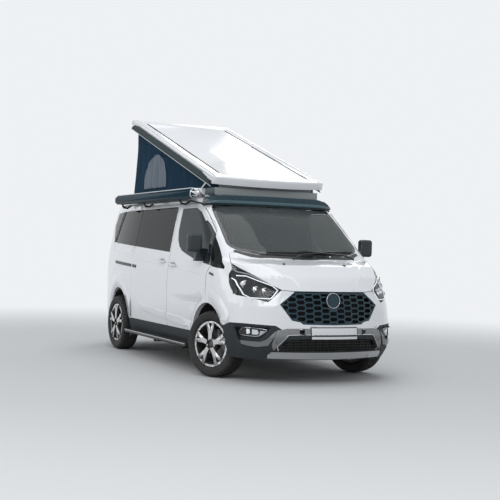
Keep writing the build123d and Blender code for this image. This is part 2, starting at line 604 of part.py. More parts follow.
engine_block = block(1290, 1790, -360, 330, 400, 960)
fuel_tank = block(-620, 480, -380, 380, 250, 500)
exhaust = block(-2090, -1600, 110, 340, 290, 400) + Pos(-2200, 225, 345) * Rot(0, 90, 0) * Cylinder(28, 300)
for hanger_x in (-2060, -1650):
    exhaust += block(hanger_x, hanger_x + 30, 215, 235, 390, FLOOR_Z)

# Roof frame and fairing
FRAME_Z1 = 2015
FRAME_HALF = 652
FRAME_BACK = -1900
FRAME_FRONT = 880
FRAME_RAIL = 90
FAIRING = [(0, 1932), (560, 1926), (700, 1912), (760, 1880), (790, 1836), (790, 1824), (0, 1828)]
FAIRING_HALF = 800
FAIRING_BACK = 640
FAIRING_FRONT = 1032
FAIRING_SIDE_X = 947
roof_frame = block(FRAME_BACK, FRAME_FRONT, -FRAME_HALF, FRAME_HALF, 1900, FRAME_Z1)
roof_frame -= block(FRAME_BACK + FRAME_RAIL, FRAME_FRONT - FRAME_RAIL - 70, FRAME_RAIL - FRAME_HALF,
                    FRAME_HALF - FRAME_RAIL, 1800, FRAME_Z1 + 5)
fairing_plan = make_face([
    ThreePointArc((FAIRING_SIDE_X, -FAIRING_HALF), (FAIRING_FRONT, 0), (FAIRING_SIDE_X, FAIRING_HALF)),
    Line((FAIRING_SIDE_X, FAIRING_HALF), (FAIRING_BACK, FAIRING_HALF)),
    Line((FAIRING_BACK, FAIRING_HALF), (FAIRING_BACK, -FAIRING_HALF)),
    Line((FAIRING_BACK, -FAIRING_HALF), (FAIRING_SIDE_X, -FAIRING_HALF)),
])
fairing = extrude(fairing_plan, FRAME_Z1, dir=(0, 0, 1))
fairing = fairing & front_prism(both(FAIRING), FAIRING_BACK, FAIRING_FRONT + 1)
roof_frame = keep_largest(roof_frame + fairing - body_form(-FIT))

# Sleeping roof: a tray that lies level when shut, and turns and rises on two arms in front
LID_TILT = 18.2
LID_FRONT = (905, 2072)      # lower front edge, open
LID_L = 2880
LID_W = 1400
LID_DEPTH = 65
LID_T = 25
LID_SKIRT = 8
LID_BOW = 50                 # the front edge bows forward by this
LID_PIN_BACK = 130
LID_PIN_UP = 20
LID_LIP = 22                 # the front edge hangs lower by this
LID_LIP_T = 30
LID_ROUND = 20
LID_GROOVE = (-2650, -160, 560, 14, 5)   # grooves on top: ends, distance from the middle, half width, depth
ARM_L = 300
ARM_Y = 668
ARM_W = 8
ARM_H = 20
ARM_PIN_Z = 2003
tilt = radians(LID_TILT)
lid_pin = (LID_FRONT[0] - LID_PIN_BACK * cos(tilt) + LID_PIN_UP * sin(tilt),
           LID_FRONT[1] + LID_PIN_BACK * sin(tilt) + LID_PIN_UP * cos(tilt))
arm_rest = degrees(asin((lid_pin[1] - ARM_PIN_Z) / ARM_L))
arm_pin = (lid_pin[0] - ARM_L * cos(radians(arm_rest)), ARM_PIN_Z)


def lid_edge(shrink):
    half = LID_W / 2 - shrink
    return make_face([
        ThreePointArc((-shrink, -half), (LID_BOW - shrink, 0), (-shrink, half)),
        Line((-shrink, half), (-LID_L + shrink, half)),
        Line((-LID_L + shrink, half), (-LID_L + shrink, -half)),
        Line((-LID_L + shrink, -half), (-shrink, -half)),
    ])


lid = extrude(lid_edge(0), LID_DEPTH, dir=(0, 0, 1))
lid = fillet(lid.faces().sort_by(Axis.Z)[-1].edges(), LID_ROUND)
lid -= extrude(lid_edge(LID_SKIRT), LID_DEPTH - LID_T, dir=(0, 0, 1))
lip = extrude(lid_edge(0) - lid_edge(LID_LIP_T), LID_LIP + LID_DEPTH / 2, dir=(0, 0, 1))
lip_room = block(-LID_LIP_T, LID_BOW + 1, -LID_W / 2, LID_W / 2, -LID_LIP, LID_DEPTH)
lip = (Pos(0, 0, -LID_LIP) * lip) & lip_room
lid += lip
groove_x0, groove_x1, groove_y, groove_half, groove_depth = LID_GROOVE
for sign in (-1, 1):
    lid -= block(groove_x0, groove_x1, sign * (groove_y - groove_half), sign * (groove_y + groove_half),
                 LID_DEPTH - groove_depth, LID_DEPTH + 1)
pin_r = 6
for sign in (-1, 1):
    lid += drum(-LID_PIN_BACK, LID_PIN_UP, pin_r, sign * (ARM_Y - ARM_W), sign * (LID_W / 2 - LID_SKIRT / 2))
lid = Pos(LID_FRONT[0], 0, LID_FRONT[1]) * Rot(0, LID_TILT, 0) * lid

arm = Box(ARM_L, ARM_W, ARM_H) + Pos(-ARM_L / 2, 0, 0) * Rot(90, 0, 0) * Cylinder(ARM_H / 2, ARM_W)
arm += Pos(ARM_L / 2, 0, 0) * Rot(90, 0, 0) * Cylinder(ARM_H / 2, ARM_W)
for end in (-1, 1):
    arm -= Pos(end * ARM_L / 2, 0, 0) * Rot(90, 0, 0) * Cylinder(pin_r + PIN_GAP, 40)
arm = Rot(0, -arm_rest, 0) * Pos(ARM_L / 2, 0, 0) * arm
lid_arms = Compound([Pos(arm_pin[0], sign * ARM_Y, arm_pin[1]) * arm for sign in (-1, 1)])
PIN_ROOT = 10        # length of each arm pin inside the roof frame
PIN_END = 6          # and past the middle of its arm
for sign in (-1, 1):
    roof_frame += drum(arm_pin[0], arm_pin[1], pin_r,
                       sign * (FRAME_HALF - PIN_ROOT), sign * (ARM_Y + PIN_END))

# Canvas: four walls between the roof frame and the lid, plain here
CANVAS_T = 12
CANVAS_HALF = 640


def under_lid(x, drop=0.0):
    """Height of the lid's underside above the point x, less a drop."""
    base = (LID_FRONT[0] + (LID_DEPTH - LID_T) * sin(tilt), LID_FRONT[1] + (LID_DEPTH - LID_T) * cos(tilt))
    return base[1] + (base[0] - x) * tan(tilt) - drop


CANVAS_FRONT = 850
CANVAS_REAR_TOP = -1765
CANVAS_REAR_LOW = -1888


def canvas_form(inset, z0, lid_gap):
    points = [(CANVAS_FRONT - inset, z0), (CANVAS_FRONT - inset, under_lid(CANVAS_FRONT, lid_gap)),
              (CANVAS_REAR_TOP + inset, under_lid(CANVAS_REAR_TOP, lid_gap)), (CANVAS_REAR_LOW + inset, z0)]
    return extrude(make_face(Plane.XZ * Polyline(*points, close=True)), CANVAS_HALF - inset, both=True)


canvas = canvas_form(0, FRAME_Z1, 2) - canvas_form(CANVAS_T, FRAME_Z1 - 30, -60)

# Awning case on the right-hand roof edge
AWNING_X = (-1530, 1000)
AWNING_SECTION = [(-880, 1872), (-972, 1872), (-1000, 1898), (-1000, 1950), (-966, 1985), (-880, 1985)]
AWNING_CAP = 155
AWNING_CAP_SHRINK = 8
BRACKET_XS = (-1250, -400, 480)
BRACKET_W = 60
awning_case = front_prism(AWNING_SECTION, *AWNING_X)
awning_case += front_prism(grown(AWNING_SECTION, -AWNING_CAP_SHRINK), AWNING_X[1], AWNING_X[1] + AWNING_CAP)
for bracket_x in BRACKET_XS:
    bracket = block(bracket_x, bracket_x + BRACKET_W, -882, -715, 1893, 1940)
    awning_case += bracket - body_form(-FIT)
awning_case = keep_largest(awning_case)

# Inside
DASH_BACK = 900
DASH_HALF = 770
DASH_SECTION = [(1178, 955), (1178, 1178), (1080, 1186), (985, 1162), (935, 1120), (DASH_BACK, 1060),
                (910, 985), (960, 940), (1060, 930)]
CONSOLE = [(1178, 930), (1178, 560), (1120, 560), (1000, 820), (960, 940)]


def slab(section, y0, y1):
    """Prism across the van over an outline of (x, z) points."""
    face = make_face(Plane.XZ * Polyline(*section, close=True))
    return Pos(0, y0, 0) * extrude(face, y1 - y0, dir=(0, 1, 0))


dashboard = slab(DASH_SECTION, -DASH_HALF, DASH_HALF) + slab(CONSOLE, -150, 150)
dashboard += block(1130, 1178, -505, 505, 560, 960)
WHEEL_TILT = 25
steering_wheel = Torus(180, 14) + Cylinder(45, 30)
for turn in (0, 120, 240):
    steering_wheel += Rot(0, 0, turn) * Pos(95, 0, 0) * Box(150, 26, 10)
steering_wheel += Pos(0, 0, -90) * Cylinder(26, 160)
steering_wheel = Pos(800, 400, 1140) * Rot(0, WHEEL_TILT - 90, 0) * steering_wheel
steering_wheel = keep_largest(steering_wheel - block(DASH_BACK - FIT, 1300, -800, 800, 500, 1300))
SEAT_Y = 400
SEAT_HALF = 245
SEAT_CUSHION = [(150, 655), (150, 800), (260, 845), (560, 872), (640, 850), (650, 780), (620, 690),
                (560, 655)]
SEAT_BACK = [(160, 700), (270, 760), (262, 860), (222, 1100), (150, 1420), (110, 1455), (50, 1440),
             (40, 1380), (70, 1080), (110, 800), (130, 700)]
HEADREST = [(70, 1470), (120, 1478), (150, 1560), (130, 1640), (70, 1650), (30, 1600)]
seat = slab(SEAT_CUSHION, -SEAT_HALF, SEAT_HALF) + slab(SEAT_BACK, -SEAT_HALF + 10, SEAT_HALF - 10)
seat += slab(HEADREST, -130, 130) + block(75, 95, -60, 60, 1440, 1500)
seat += block(200, 600, -200, 200, floor_top, 660)
front_seats = Compound([Pos(0, SEAT_Y, 0) * seat, Pos(0, -SEAT_Y, 0) * seat])
BENCH_CUSHION = [(-1370, 700), (-1370, 860), (-830, 900), (-800, 870), (-800, 740), (-830, 700)]
BENCH_HALF = 530
BENCH_BACK = [(-1360, 720), (-1360, 900), (-1430, 1400), (-1470, 1510), (-1530, 1510), (-1545, 1460),
              (-1480, 720)]
rear_bench = slab(BENCH_CUSHION, -BENCH_HALF, BENCH_HALF) + slab(BENCH_BACK, -BENCH_HALF, BENCH_HALF)
rear_bench += block(-1360, -850, 30 - BENCH_HALF, BENCH_HALF - 30, floor_top, 705)
kitchen_unit = block(-740, -120, 430, 850, floor_top, 1240)

# Inner pillars and roof bows
hoop_form = body_form(WALL + FIT, roof_drop=38) - body_form(WALL + 38, roof_drop=72)
hoops = []
for hoop_x0, hoop_x1 in ((265, 408), (-972, -830), (-1960, -1835)):
    hoop = hoop_form & block(hoop_x0, hoop_x1, -1000, 1000, floor_top + FIT, 1960)
    hoop -= block(ROOF_HOLE[0], ROOF_HOLE[1], -ROOF_HOLE[2], ROOF_HOLE[2], 1800, 2100)
    hoop -= rear_arch
    hoops.extend(solid for solid in hoop.solids() if solid.volume > 1e5)
body_hoops = Compound(hoops)

# Hinges and mirrors
MIRROR = (1262, 1352, -1140, -978, 1290, 1486)
MIRROR_ROUND = 34
mirror_right = fillet(block(*MIRROR).edges(), MIRROR_ROUND)
mirror_arm = side_prism([(1215, 1196), (1300, 1196), (1345, 1330), (1280, 1330)], 900, 1030)
mirror_right = keep_largest(mirror_right + (mirror_arm - body_form(-FIT)))

# Side steps on brackets, and the bright guard under the front bumper
STEP_X = (-910, 1060)
STEP_Y = (945, 1030)
STEP_Z = (262, 302)
STEP_ROUND = 14
STEP_FOOT_XS = (-760, 60, 880)
STEP_FOOT = 45
STEP_FOOT_T = 14
STEP_ROOT_Y = 700
STEP_FOOT_Z = STEP_Z[0] - 28
step = fillet(block(*STEP_X, -STEP_Y[1], -STEP_Y[0], *STEP_Z).edges().filter_by(Axis.X), STEP_ROUND)
for foot_x in STEP_FOOT_XS:
    ends = (foot_x, foot_x + STEP_FOOT)
    step += block(*ends, -STEP_Y[1] + 20, -STEP_ROOT_Y, STEP_FOOT_Z, STEP_FOOT_Z + STEP_FOOT_T)
    step += block(*ends, -STEP_Y[1] + 20, -STEP_Y[1] + 34, STEP_FOOT_Z, STEP_Z[0] + 5)
    step += block(*ends, -STEP_ROOT_Y - STEP_FOOT_T, -STEP_ROOT_Y, STEP_FOOT_Z, FLOOR_Z)
side_steps = Compound([step, mirrored(step)])
SKID_T = 8
skid_plate = (body_form(-FIT - SKID_T) - body_form(-FIT)) & front_prism(both(SKID), 2100, 2700)

parts.update({
    "floor_pan": floor_pan,
    "body_side_left": body_left,
    "body_side_right": body_right,
    "roof_panel": roof_panel,
    "wings": Compound([wing_right, mirrored(wing_right)]),
    "cowl_panel": cowl_panel,
    "sill_trims": Compound(sill_right.solids() + mirrored(sill_right).solids()),
    "dashboard": dashboard,
    "steering_wheel": steering_wheel,
    "front_seats": front_seats,
    "rear_bench": rear_bench,
    "kitchen_unit": kitchen_unit,
    "body_hoops": body_hoops,
    "windscreen": windscreen,
    "side_glass": side_glass,
    "sliding_door": sliding_door,
    "front_bumper": keep_largest(front_bumper),
    "bumper_cladding": bumper_cladding,
    "skid_plate": skid_plate,
    "grille": grille,
    "headlamps": headlamps,
    "rear_bumper": rear_bumper,
    "tail_lamps": Compound(tail_lamp_right.solids() + mirrored(tail_lamp_right).solids()),
    "side_steps": side_steps,
    "arch_liners": arch_liners,
    "awning_case": awning_case,
    "roof_frame": roof_frame,
    "canvas": canvas,
    "front_subframe": front_subframe,
    "rear_axle": rear_axle,
    "engine_block": engine_block,
    "fuel_tank": fuel_tank,
    "exhaust": exhaust,
    "door_right": door_right,
    "door_left": mirrored(door_right),
    "door_glass_right": door_glass_right,
    "door_glass_left": mirrored(door_glass_right),
    "mirror_right": mirror_right,
    "mirror_left": mirrored(mirror_right),
    "bonnet": bonnet,
    "tailgate": tailgate,
    "tailgate_glass": tailgate_glass,
    "lid": lid,
    "lid_arms": lid_arms,
})

os.makedirs("parts", exist_ok=True)
for name, shape in parts.items():
    export_step(shape if isinstance(shape, Compound) else Compound(shape.solids()), f"parts/{name}.step")
    print(name, len(shape.solids()), round(shape.volume / 1e6, 2))
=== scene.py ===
import bpy
import json
import math
from mathutils import Matrix, Vector


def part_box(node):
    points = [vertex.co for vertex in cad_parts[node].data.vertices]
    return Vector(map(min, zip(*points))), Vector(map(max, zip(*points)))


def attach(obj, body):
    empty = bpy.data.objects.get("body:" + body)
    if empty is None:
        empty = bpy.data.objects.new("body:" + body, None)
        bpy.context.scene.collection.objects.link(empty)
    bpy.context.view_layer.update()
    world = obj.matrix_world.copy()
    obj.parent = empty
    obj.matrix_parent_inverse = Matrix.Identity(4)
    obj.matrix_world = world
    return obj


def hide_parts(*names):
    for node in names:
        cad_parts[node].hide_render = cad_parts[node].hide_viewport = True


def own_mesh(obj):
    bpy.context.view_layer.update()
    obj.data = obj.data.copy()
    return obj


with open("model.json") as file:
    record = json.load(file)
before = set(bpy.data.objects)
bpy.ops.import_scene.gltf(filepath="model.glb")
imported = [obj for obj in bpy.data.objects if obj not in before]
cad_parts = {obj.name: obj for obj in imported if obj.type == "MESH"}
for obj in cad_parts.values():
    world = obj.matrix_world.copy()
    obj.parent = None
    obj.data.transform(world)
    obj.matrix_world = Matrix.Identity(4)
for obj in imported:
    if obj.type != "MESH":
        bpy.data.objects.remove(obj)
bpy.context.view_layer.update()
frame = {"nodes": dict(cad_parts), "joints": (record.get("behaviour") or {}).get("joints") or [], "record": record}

# Camera: where the van was seen from, found from its wheels, plate and roof
EYE = Vector((11.313, -5.275, 1.324))
HEADING = math.radians(154.04)
PITCH = math.radians(0.03)
ROLL = math.radians(1.76)
FOCAL_PIXELS = 1028.1
PICTURE = 500
SENSOR = 36.0

forward = Vector((math.cos(PITCH) * math.cos(HEADING), math.cos(PITCH) * math.sin(HEADING), math.sin(PITCH)))
level_right = Vector((math.sin(HEADING), -math.cos(HEADING), 0))
level_up = level_right.cross(forward)
right = level_right * math.cos(ROLL) + level_up * math.sin(ROLL)
up = level_up * math.cos(ROLL) - level_right * math.sin(ROLL)
camera_data = bpy.data.cameras.new("camera")
camera_data.sensor_width = SENSOR
camera_data.lens = FOCAL_PIXELS / PICTURE * SENSOR
camera_data.clip_end = 200
camera = bpy.data.objects.new("camera", camera_data)
bpy.context.scene.collection.objects.link(camera)
camera.matrix_world = Matrix((
    (right.x, up.x, -forward.x, EYE.x),
    (right.y, up.y, -forward.y, EYE.y),
    (right.z, up.z, -forward.z, EYE.z),
    (0, 0, 0, 1),
))
bpy.context.scene.camera = camera
bpy.context.scene.view_settings.view_transform = "Standard"


# Node helpers
def node_of(tree, kind, at=(0, 0), **values):
    made = tree.nodes.new(kind)
    made.location = at
    for key, value in values.items():
        setattr(made, key, value)
    return made


def new_group(name, inputs, outputs):
    """A shader node group with named sockets: inputs are (name, type, value), outputs are (name, type)."""
    group = bpy.data.node_groups.new(name, "ShaderNodeTree")
    for label, kind, value in inputs:
        socket = group.interface.new_socket(name=label, in_out="INPUT", socket_type=kind)
        if value is not None:
            socket.default_value = value
    for label, kind in outputs:
        group.interface.new_socket(name=label, in_out="OUTPUT", socket_type=kind)
    return group, node_of(group, "NodeGroupInput", (-900, 0)), node_of(group, "NodeGroupOutput", (700, 0))


def noise_of(tree, vector, scale, detail=3.0, rough=0.5):
    made = node_of(tree, "ShaderNodeTexNoise")
    tree.links.new(vector, made.inputs["Vector"])
    made.inputs["Scale"].default_value = scale
    made.inputs["Detail"].default_value = detail
    made.inputs["Roughness"].default_value = rough
    return made.outputs["Fac"]


def ranged(tree, value, low, high, to_low, to_high):
    made = node_of(tree, "ShaderNodeMapRange")
    tree.links.new(value, made.inputs["Value"])
    for label, number in (("From Min", low), ("From Max", high), ("To Min", to_low), ("To Max", to_high)):
        if isinstance(number, (int, float)):
            made.inputs[label].default_value = number
        else:
            tree.links.new(number, made.inputs[label])
    return made.outputs["Result"]


def blended(tree, share, colour_a, colour_b, mode="MIX"):
    made = node_of(tree, "ShaderNodeMix", data_type="RGBA", blend_type=mode)
    for socket, value in ((made.inputs[0], share), (made.inputs[6], colour_a), (made.inputs[7], colour_b)):
        if isinstance(value, bpy.types.NodeSocket):
            tree.links.new(value, socket)
        else:
            socket.default_value = value
    return made.outputs[2]


def surface_variation():
    """Slow colour drift, fine roughness change and road dust that gathers low down."""
    group, given, out = new_group(
        "surface_variation",
        [("Base", "NodeSocketColor", (0.8, 0.8, 0.8, 1)), ("Drift", "NodeSocketFloat", 0.04),
         ("Rough Low", "NodeSocketFloat", 0.2), ("Rough High", "NodeSocketFloat", 0.3),
         ("Dust", "NodeSocketFloat", 0.2), ("Dust Height", "NodeSocketFloat", 0.9)],
        [("Color", "NodeSocketColor"), ("Roughness", "NodeSocketFloat"), ("Dust Mask", "NodeSocketFloat")])
    tree = group
    place = node_of(tree, "ShaderNodeTexCoord", (-900, -300)).outputs["Object"]
    slow = noise_of(tree, place, 1.7, 2.0)
    fine = noise_of(tree, place, 46.0, 5.0, 0.6)
    middle = noise_of(tree, place, 7.0, 4.0, 0.65)
    height = node_of(tree, "ShaderNodeSeparateXYZ")
    tree.links.new(place, height.inputs[0])
    low = node_of(tree, "ShaderNodeMapRange", interpolation_type="SMOOTHSTEP")
    tree.links.new(height.outputs["Z"], low.inputs["Value"])
    low.inputs["From Min"].default_value = 0.12
    tree.links.new(given.outputs["Dust Height"], low.inputs["From Max"])
    low.inputs["To Min"].default_value = 1.0
    low.inputs["To Max"].default_value = 0.0
    patch = node_of(tree, "ShaderNodeMath", operation="MULTIPLY")
    tree.links.new(low.outputs["Result"], patch.inputs[0])
    tree.links.new(ranged(tree, middle, 0.3, 0.7, 0.25, 1.0), patch.inputs[1])
    dust = node_of(tree, "ShaderNodeMath", operation="MULTIPLY")
    tree.links.new(patch.outputs[0], dust.inputs[0])
    tree.links.new(given.outputs["Dust"], dust.inputs[1])
    drift = node_of(tree, "ShaderNodeMath", operation="MULTIPLY")
    tree.links.new(slow, drift.inputs[0])
    tree.links.new(given.outputs["Drift"], drift.inputs[1])
    darker = blended(tree, drift.outputs[0], given.outputs["Base"], (0.0, 0.0, 0.0, 1))
    dusty = blended(tree, dust.outputs[0], darker, (0.33, 0.29, 0.24, 1))
    tree.links.new(dusty, out.inputs["Color"])
    rough = ranged(tree, fine, 0.3, 0.7, given.outputs["Rough Low"], given.outputs["Rough High"])
    raised = node_of(tree, "ShaderNodeMath", operation="MULTIPLY_ADD")
    tree.links.new(dust.outputs[0], raised.inputs[0])
    raised.inputs[1].default_value = 0.5
    tree.links.new(rough, raised.inputs[2])
    tree.links.new(raised.outputs[0], out.inputs["Roughness"])
    tree.links.new(dust.outputs[0], out.inputs["Dust Mask"])
    return group


def grain_height():
    """Leather-like grain of moulded plastic, as a height."""
    group, given, out = new_group("grain_height", [("Scale", "NodeSocketFloat", 400.0)], [("Height", "NodeSocketFloat")])
    place = node_of(group, "ShaderNodeTexCoord").outputs["Object"]
    cells = node_of(group, "ShaderNodeTexVoronoi", feature="SMOOTH_F1")
    group.links.new(place, cells.inputs["Vector"])
    group.links.new(given.outputs["Scale"], cells.inputs["Scale"])
    group.links.new(cells.outputs["Distance"], out.inputs["Height"])
    return group


VARIATION = surface_variation()
GRAIN = grain_height()


def finish(name, colour, rough=(0.3, 0.4), drift=0.05, dust=0.15, dust_height=0.9, metallic=0.0, grain=None,
           coat=0.0, alpha=None, transmission=0.0, specular=0.5, emission=None, bump=None, sheen=0.0, ior=1.5):
    """A finish with slow colour drift and dust. grain is (scale, strength) and bump is (noise scale, strength)."""
    made = bpy.data.materials.new(name)
    made.use_nodes = True
    tree = made.node_tree
    shader = tree.nodes["Principled BSDF"]
    given = node_of(tree, "ShaderNodeGroup", (-500, 0), node_tree=VARIATION)
    given.inputs["Base"].default_value = (*colour, 1)
    given.inputs["Drift"].default_value = drift
    given.inputs["Rough Low"].default_value = rough[0]
    given.inputs["Rough High"].default_value = rough[1]
    given.inputs["Dust"].default_value = dust
    given.inputs["Dust Height"].default_value = dust_height
    tree.links.new(given.outputs["Color"], shader.inputs["Base Color"])
    tree.links.new(given.outputs["Roughness"], shader.inputs["Roughness"])
    shader.inputs["Metallic"].default_value = metallic
    shader.inputs["Coat Weight"].default_value = coat
    shader.inputs["Coat Roughness"].default_value = 0.04
    shader.inputs["Transmission Weight"].default_value = transmission
    shader.inputs["Specular IOR Level"].default_value = specular
    shader.inputs["Sheen Weight"].default_value = sheen
    shader.inputs["IOR"].default_value = ior
    if alpha is not None:
        shader.inputs["Alpha"].default_value = alpha
    if emission is not None:
        shader.inputs["Emission Color"].default_value = (*emission[0], 1)
        shader.inputs["Emission Strength"].default_value = emission[1]
    height = None
    if grain is not None:
        cells = node_of(tree, "ShaderNodeGroup", (-500, -300), node_tree=GRAIN)
        cells.inputs["Scale"].default_value = grain[0]
        height, strength, distance = cells.outputs["Height"], grain[1], 0.0006
    elif bump is not None:
        place = node_of(tree, "ShaderNodeTexCoord", (-900, -300)).outputs["Object"]
        height, strength, distance = noise_of(tree, place, bump[0], 4.0, 0.6), bump[1], 0.002
    if height is not None:
        relief = node_of(tree, "ShaderNodeBump", (-250, -300))
        relief.inputs["Strength"].default_value = strength
        relief.inputs["Distance"].default_value = distance
        tree.links.new(height, relief.inputs["Height"])
        tree.links.new(relief.outputs["Normal"], shader.inputs["Normal"])
    return made


PAINT = finish("white_paint", (0.80, 0.81, 0.83), (0.16, 0.24), drift=0.03, dust=0.16, dust_height=0.8, coat=0.8)
CLADDING = finish("grained_cladding", (0.022, 0.030, 0.036), (0.48, 0.62), grain=(420, 0.35), dust=0.06, specular=0.2)
TEAL = finish("dark_teal_paint", (0.006, 0.034, 0.050), (0.24, 0.34), drift=0.15, dust=0.03, coat=0.15, specular=0.35)
BLACK = finish("black_plastic", (0.012, 0.013, 0.014), (0.3, 0.42), drift=0.2, grain=(600, 0.15), dust=0.06)
STEEL = finish("chassis_steel", (0.035, 0.036, 0.038), (0.45, 0.65), drift=0.4, bump=(60, 0.3), dust=0.4)
SILVER = finish("satin_aluminium", (0.60, 0.61, 0.62), (0.26, 0.36), metallic=1.0, drift=0.1, dust=0.1)
RUBBER = finish("tyre_rubber", (0.014, 0.014, 0.015), (0.62, 0.78), drift=0.3, dust=0.05, dust_height=0.7, bump=(120, 0.2))
GLASS = finish("clear_glass", (0.10, 0.12, 0.12), (0.01, 0.03), drift=0.0, dust=0.0, alpha=0.42, ior=1.5, specular=0.35)
PRIVACY = finish("privacy_glass", (0.006, 0.010, 0.009), (0.01, 0.03), drift=0.0, dust=0.0, alpha=0.95, ior=1.5, specular=0.12)
LENS = finish("lamp_lens", (0.04, 0.05, 0.055), (0.01, 0.03), drift=0.0, dust=0.0, alpha=0.14)
RED = finish("red_lens", (0.32, 0.012, 0.012), (0.05, 0.1), dust=0.05, coat=0.5)
CLOTH = finish("canvas_cloth", (0.008, 0.036, 0.068), (0.8, 0.92), drift=0.15, dust=0.0, bump=(300, 0.3), specular=0.15)
FABRIC = finish("seat_fabric", (0.05, 0.055, 0.06), (0.8, 0.95), drift=0.2, dust=0.0, bump=(400, 0.5), sheen=0.3)
WOOD = finish("cabinet_wood", (0.42, 0.38, 0.33), (0.4, 0.5), drift=0.2, dust=0.0)
LAMP_CASE = finish("lamp_case", (0.010, 0.011, 0.013), (0.25, 0.35), drift=0.1, dust=0.0)
LAMP_SILVER = finish("lamp_reflector", (0.85, 0.86, 0.88), (0.06, 0.12), metallic=1.0, drift=0.02, dust=0.0)
LAMP_GLASS = finish("lamp_glass", (0.62, 0.66, 0.70), (0.08, 0.14), metallic=0.6, drift=0.05, dust=0.0, coat=0.6)
GLOW = finish("light_guide", (0.82, 0.85, 0.9), (0.15, 0.25), drift=0.0, dust=0.0, emission=((0.9, 0.95, 1.0), 0.5))
MESH_BLACK = finish("dark_wall", (0.006, 0.006, 0.007), (0.7, 0.8), drift=0.1, dust=0.0)
DARK_SATIN = finish("dark_satin_trim", (0.22, 0.225, 0.23), (0.28, 0.36), metallic=0.8, drift=0.05, dust=0.08)
PLATE_WHITE = finish("plate_white", (0.74, 0.75, 0.76), (0.35, 0.45), drift=0.03, dust=0.1)
FRIT = finish("printed_edge", (0.008, 0.009, 0.010), (0.04, 0.07), drift=0.05, dust=0.0, coat=0.3)
POCKET = finish("wheel_pocket", (0.020, 0.021, 0.023), (0.25, 0.35), drift=0.1, dust=0.25, coat=0.3)
MACHINED = finish("machined_alloy", (0.72, 0.73, 0.74), (0.18, 0.28), metallic=1.0, drift=0.06, dust=0.12)
DISC_STEEL = finish("brake_disc", (0.32, 0.32, 0.33), (0.3, 0.45), metallic=1.0, drift=0.2, dust=0.2)
LINING = finish("roof_lining", (0.42, 0.42, 0.41), (0.8, 0.9), drift=0.1, dust=0.0, bump=(300, 0.3))
PALE_CLOTH = finish("pale_canvas", (0.36, 0.38, 0.38), (0.8, 0.9), drift=0.15, dust=0.0, bump=(300, 0.3), sheen=0.2)
WINDOW_CLOTH = finish("window_cloth", (0.115, 0.155, 0.20), (0.7, 0.85), drift=0.25, dust=0.0, bump=(300, 0.3), sheen=0.2)
LAMP_GREY = finish("lamp_trim", (0.45, 0.47, 0.49), (0.12, 0.2), metallic=0.9, drift=0.04, dust=0.0, coat=0.4)
# Paler, glossier teal for the visor's bulged lower band: a painted highlight
TEAL_PAINTED_HIGHLIGHT = finish("teal_paint_with_painted_highlight", (0.030, 0.085, 0.105), (0.2, 0.3), drift=0.1, dust=0.02, coat=0.5)
# Dark teal for the lid's sides: a painted reflection of dark surroundings on the glossy lid
LID_SIDE_PAINTED_REFLECTION = finish("lid_side_painted_reflection", (0.001, 0.020, 0.024), (0.4, 0.5), drift=0.1, dust=0.0, specular=0.2)
AWNING_TEAL = finish("awning_teal", (0.001, 0.024, 0.040), (0.42, 0.5), drift=0.1, dust=0.0, specular=0.16)
DOOR_GLASS = finish("door_glass", (0.030, 0.042, 0.046), (0.01, 0.03), drift=0.0, dust=0.0, alpha=0.80, ior=1.5, specular=0.2)
MIRROR_CASE = finish("mirror_case", (0.018, 0.026, 0.032), (0.3, 0.4), drift=0.1, dust=0.0, grain=(500, 0.15))
# Grey of the door handle cups is painted shade in their hollows; the tailgate handle uses it as well
CUP_GREY = finish("handle_cup", (0.40, 0.41, 0.42), (0.3, 0.4), drift=0.05, dust=0.1, coat=0.4)

SLOT_FINISH = {
    "white_paint": PAINT, "chassis_steel": STEEL, "dark_plastic": CLADDING, "seat_fabric": FABRIC,
    "cabinet_wood": WOOD, "clear_glass": GLASS, "dark_glass": PRIVACY, "silver_trim": SILVER,
    "grille_plastic": TEAL, "lamp_lens": LENS, "tail_lens": RED, "teal_case": TEAL, "canvas_cloth": CLOTH,
    "wheel_alloy": SILVER, "tyre_rubber": RUBBER,
}
slot_of = {part["node"]: part["material_slot"] for part in frame["record"]["subparts"]}
body_of_node = {node: body for body, nodes in frame["record"]["behaviour"]["bodies"].items() for node in nodes}


def only(piece):
    """Select this object and nothing else."""
    bpy.ops.object.select_all(action="DESELECT")
    piece.select_set(True)
    bpy.context.view_layer.objects.active = piece


def smooth(piece, angle=32):
    only(piece)
    bpy.ops.object.shade_smooth_by_angle(angle=math.radians(angle))


def panel(node, material=None, name=None, angle=32):
    """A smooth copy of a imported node, which it stands for."""
    source = frame["nodes"][node]
    copy = bpy.data.objects.new(name or node + "_skin", source.data.copy())
    bpy.context.scene.collection.objects.link(copy)
    only(copy)
    bpy.ops.object.mode_set(mode="EDIT")
    bpy.ops.mesh.select_all(action="SELECT")
    bpy.ops.mesh.remove_doubles(threshold=0.00002)
    bpy.ops.object.mode_set(mode="OBJECT")
    smooth(copy, angle)
    copy.data.materials.clear()
    copy.data.materials.append(material or SLOT_FINISH[slot_of[node]])
    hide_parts(node)
    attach(copy, body_of_node[node])
    return copy


SMOOTH_NODES = [
    "body_side_left", "body_side_right", "roof_panel", "wings", "cowl_panel", "sill_trims", "windscreen",
    "side_glass", "sliding_door", "front_bumper", "bumper_cladding", "skid_plate", "rear_bumper",
    "tail_lamps", "awning_case", "roof_frame", "door_left", "door_right", "door_glass_left", "door_glass_right",
    "mirror_left", "mirror_right", "bonnet", "tailgate", "tailgate_glass", "lid", "grille", "side_steps",
]
OWN_FINISH = {"cowl_panel": BLACK, "mirror_left": MIRROR_CASE, "mirror_right": MIRROR_CASE,
              "awning_case": AWNING_TEAL, "door_glass_left": DOOR_GLASS, "door_glass_right": DOOR_GLASS, "steering_wheel": BLACK,
              "side_steps": BLACK, "arch_liners": BLACK, "lid_arms": SILVER}
SMOOTH_ANGLE = {"roof_frame": 15}
skins = {node: panel(node, OWN_FINISH.get(node), angle=SMOOTH_ANGLE.get(node, 32)) for node in SMOOTH_NODES}
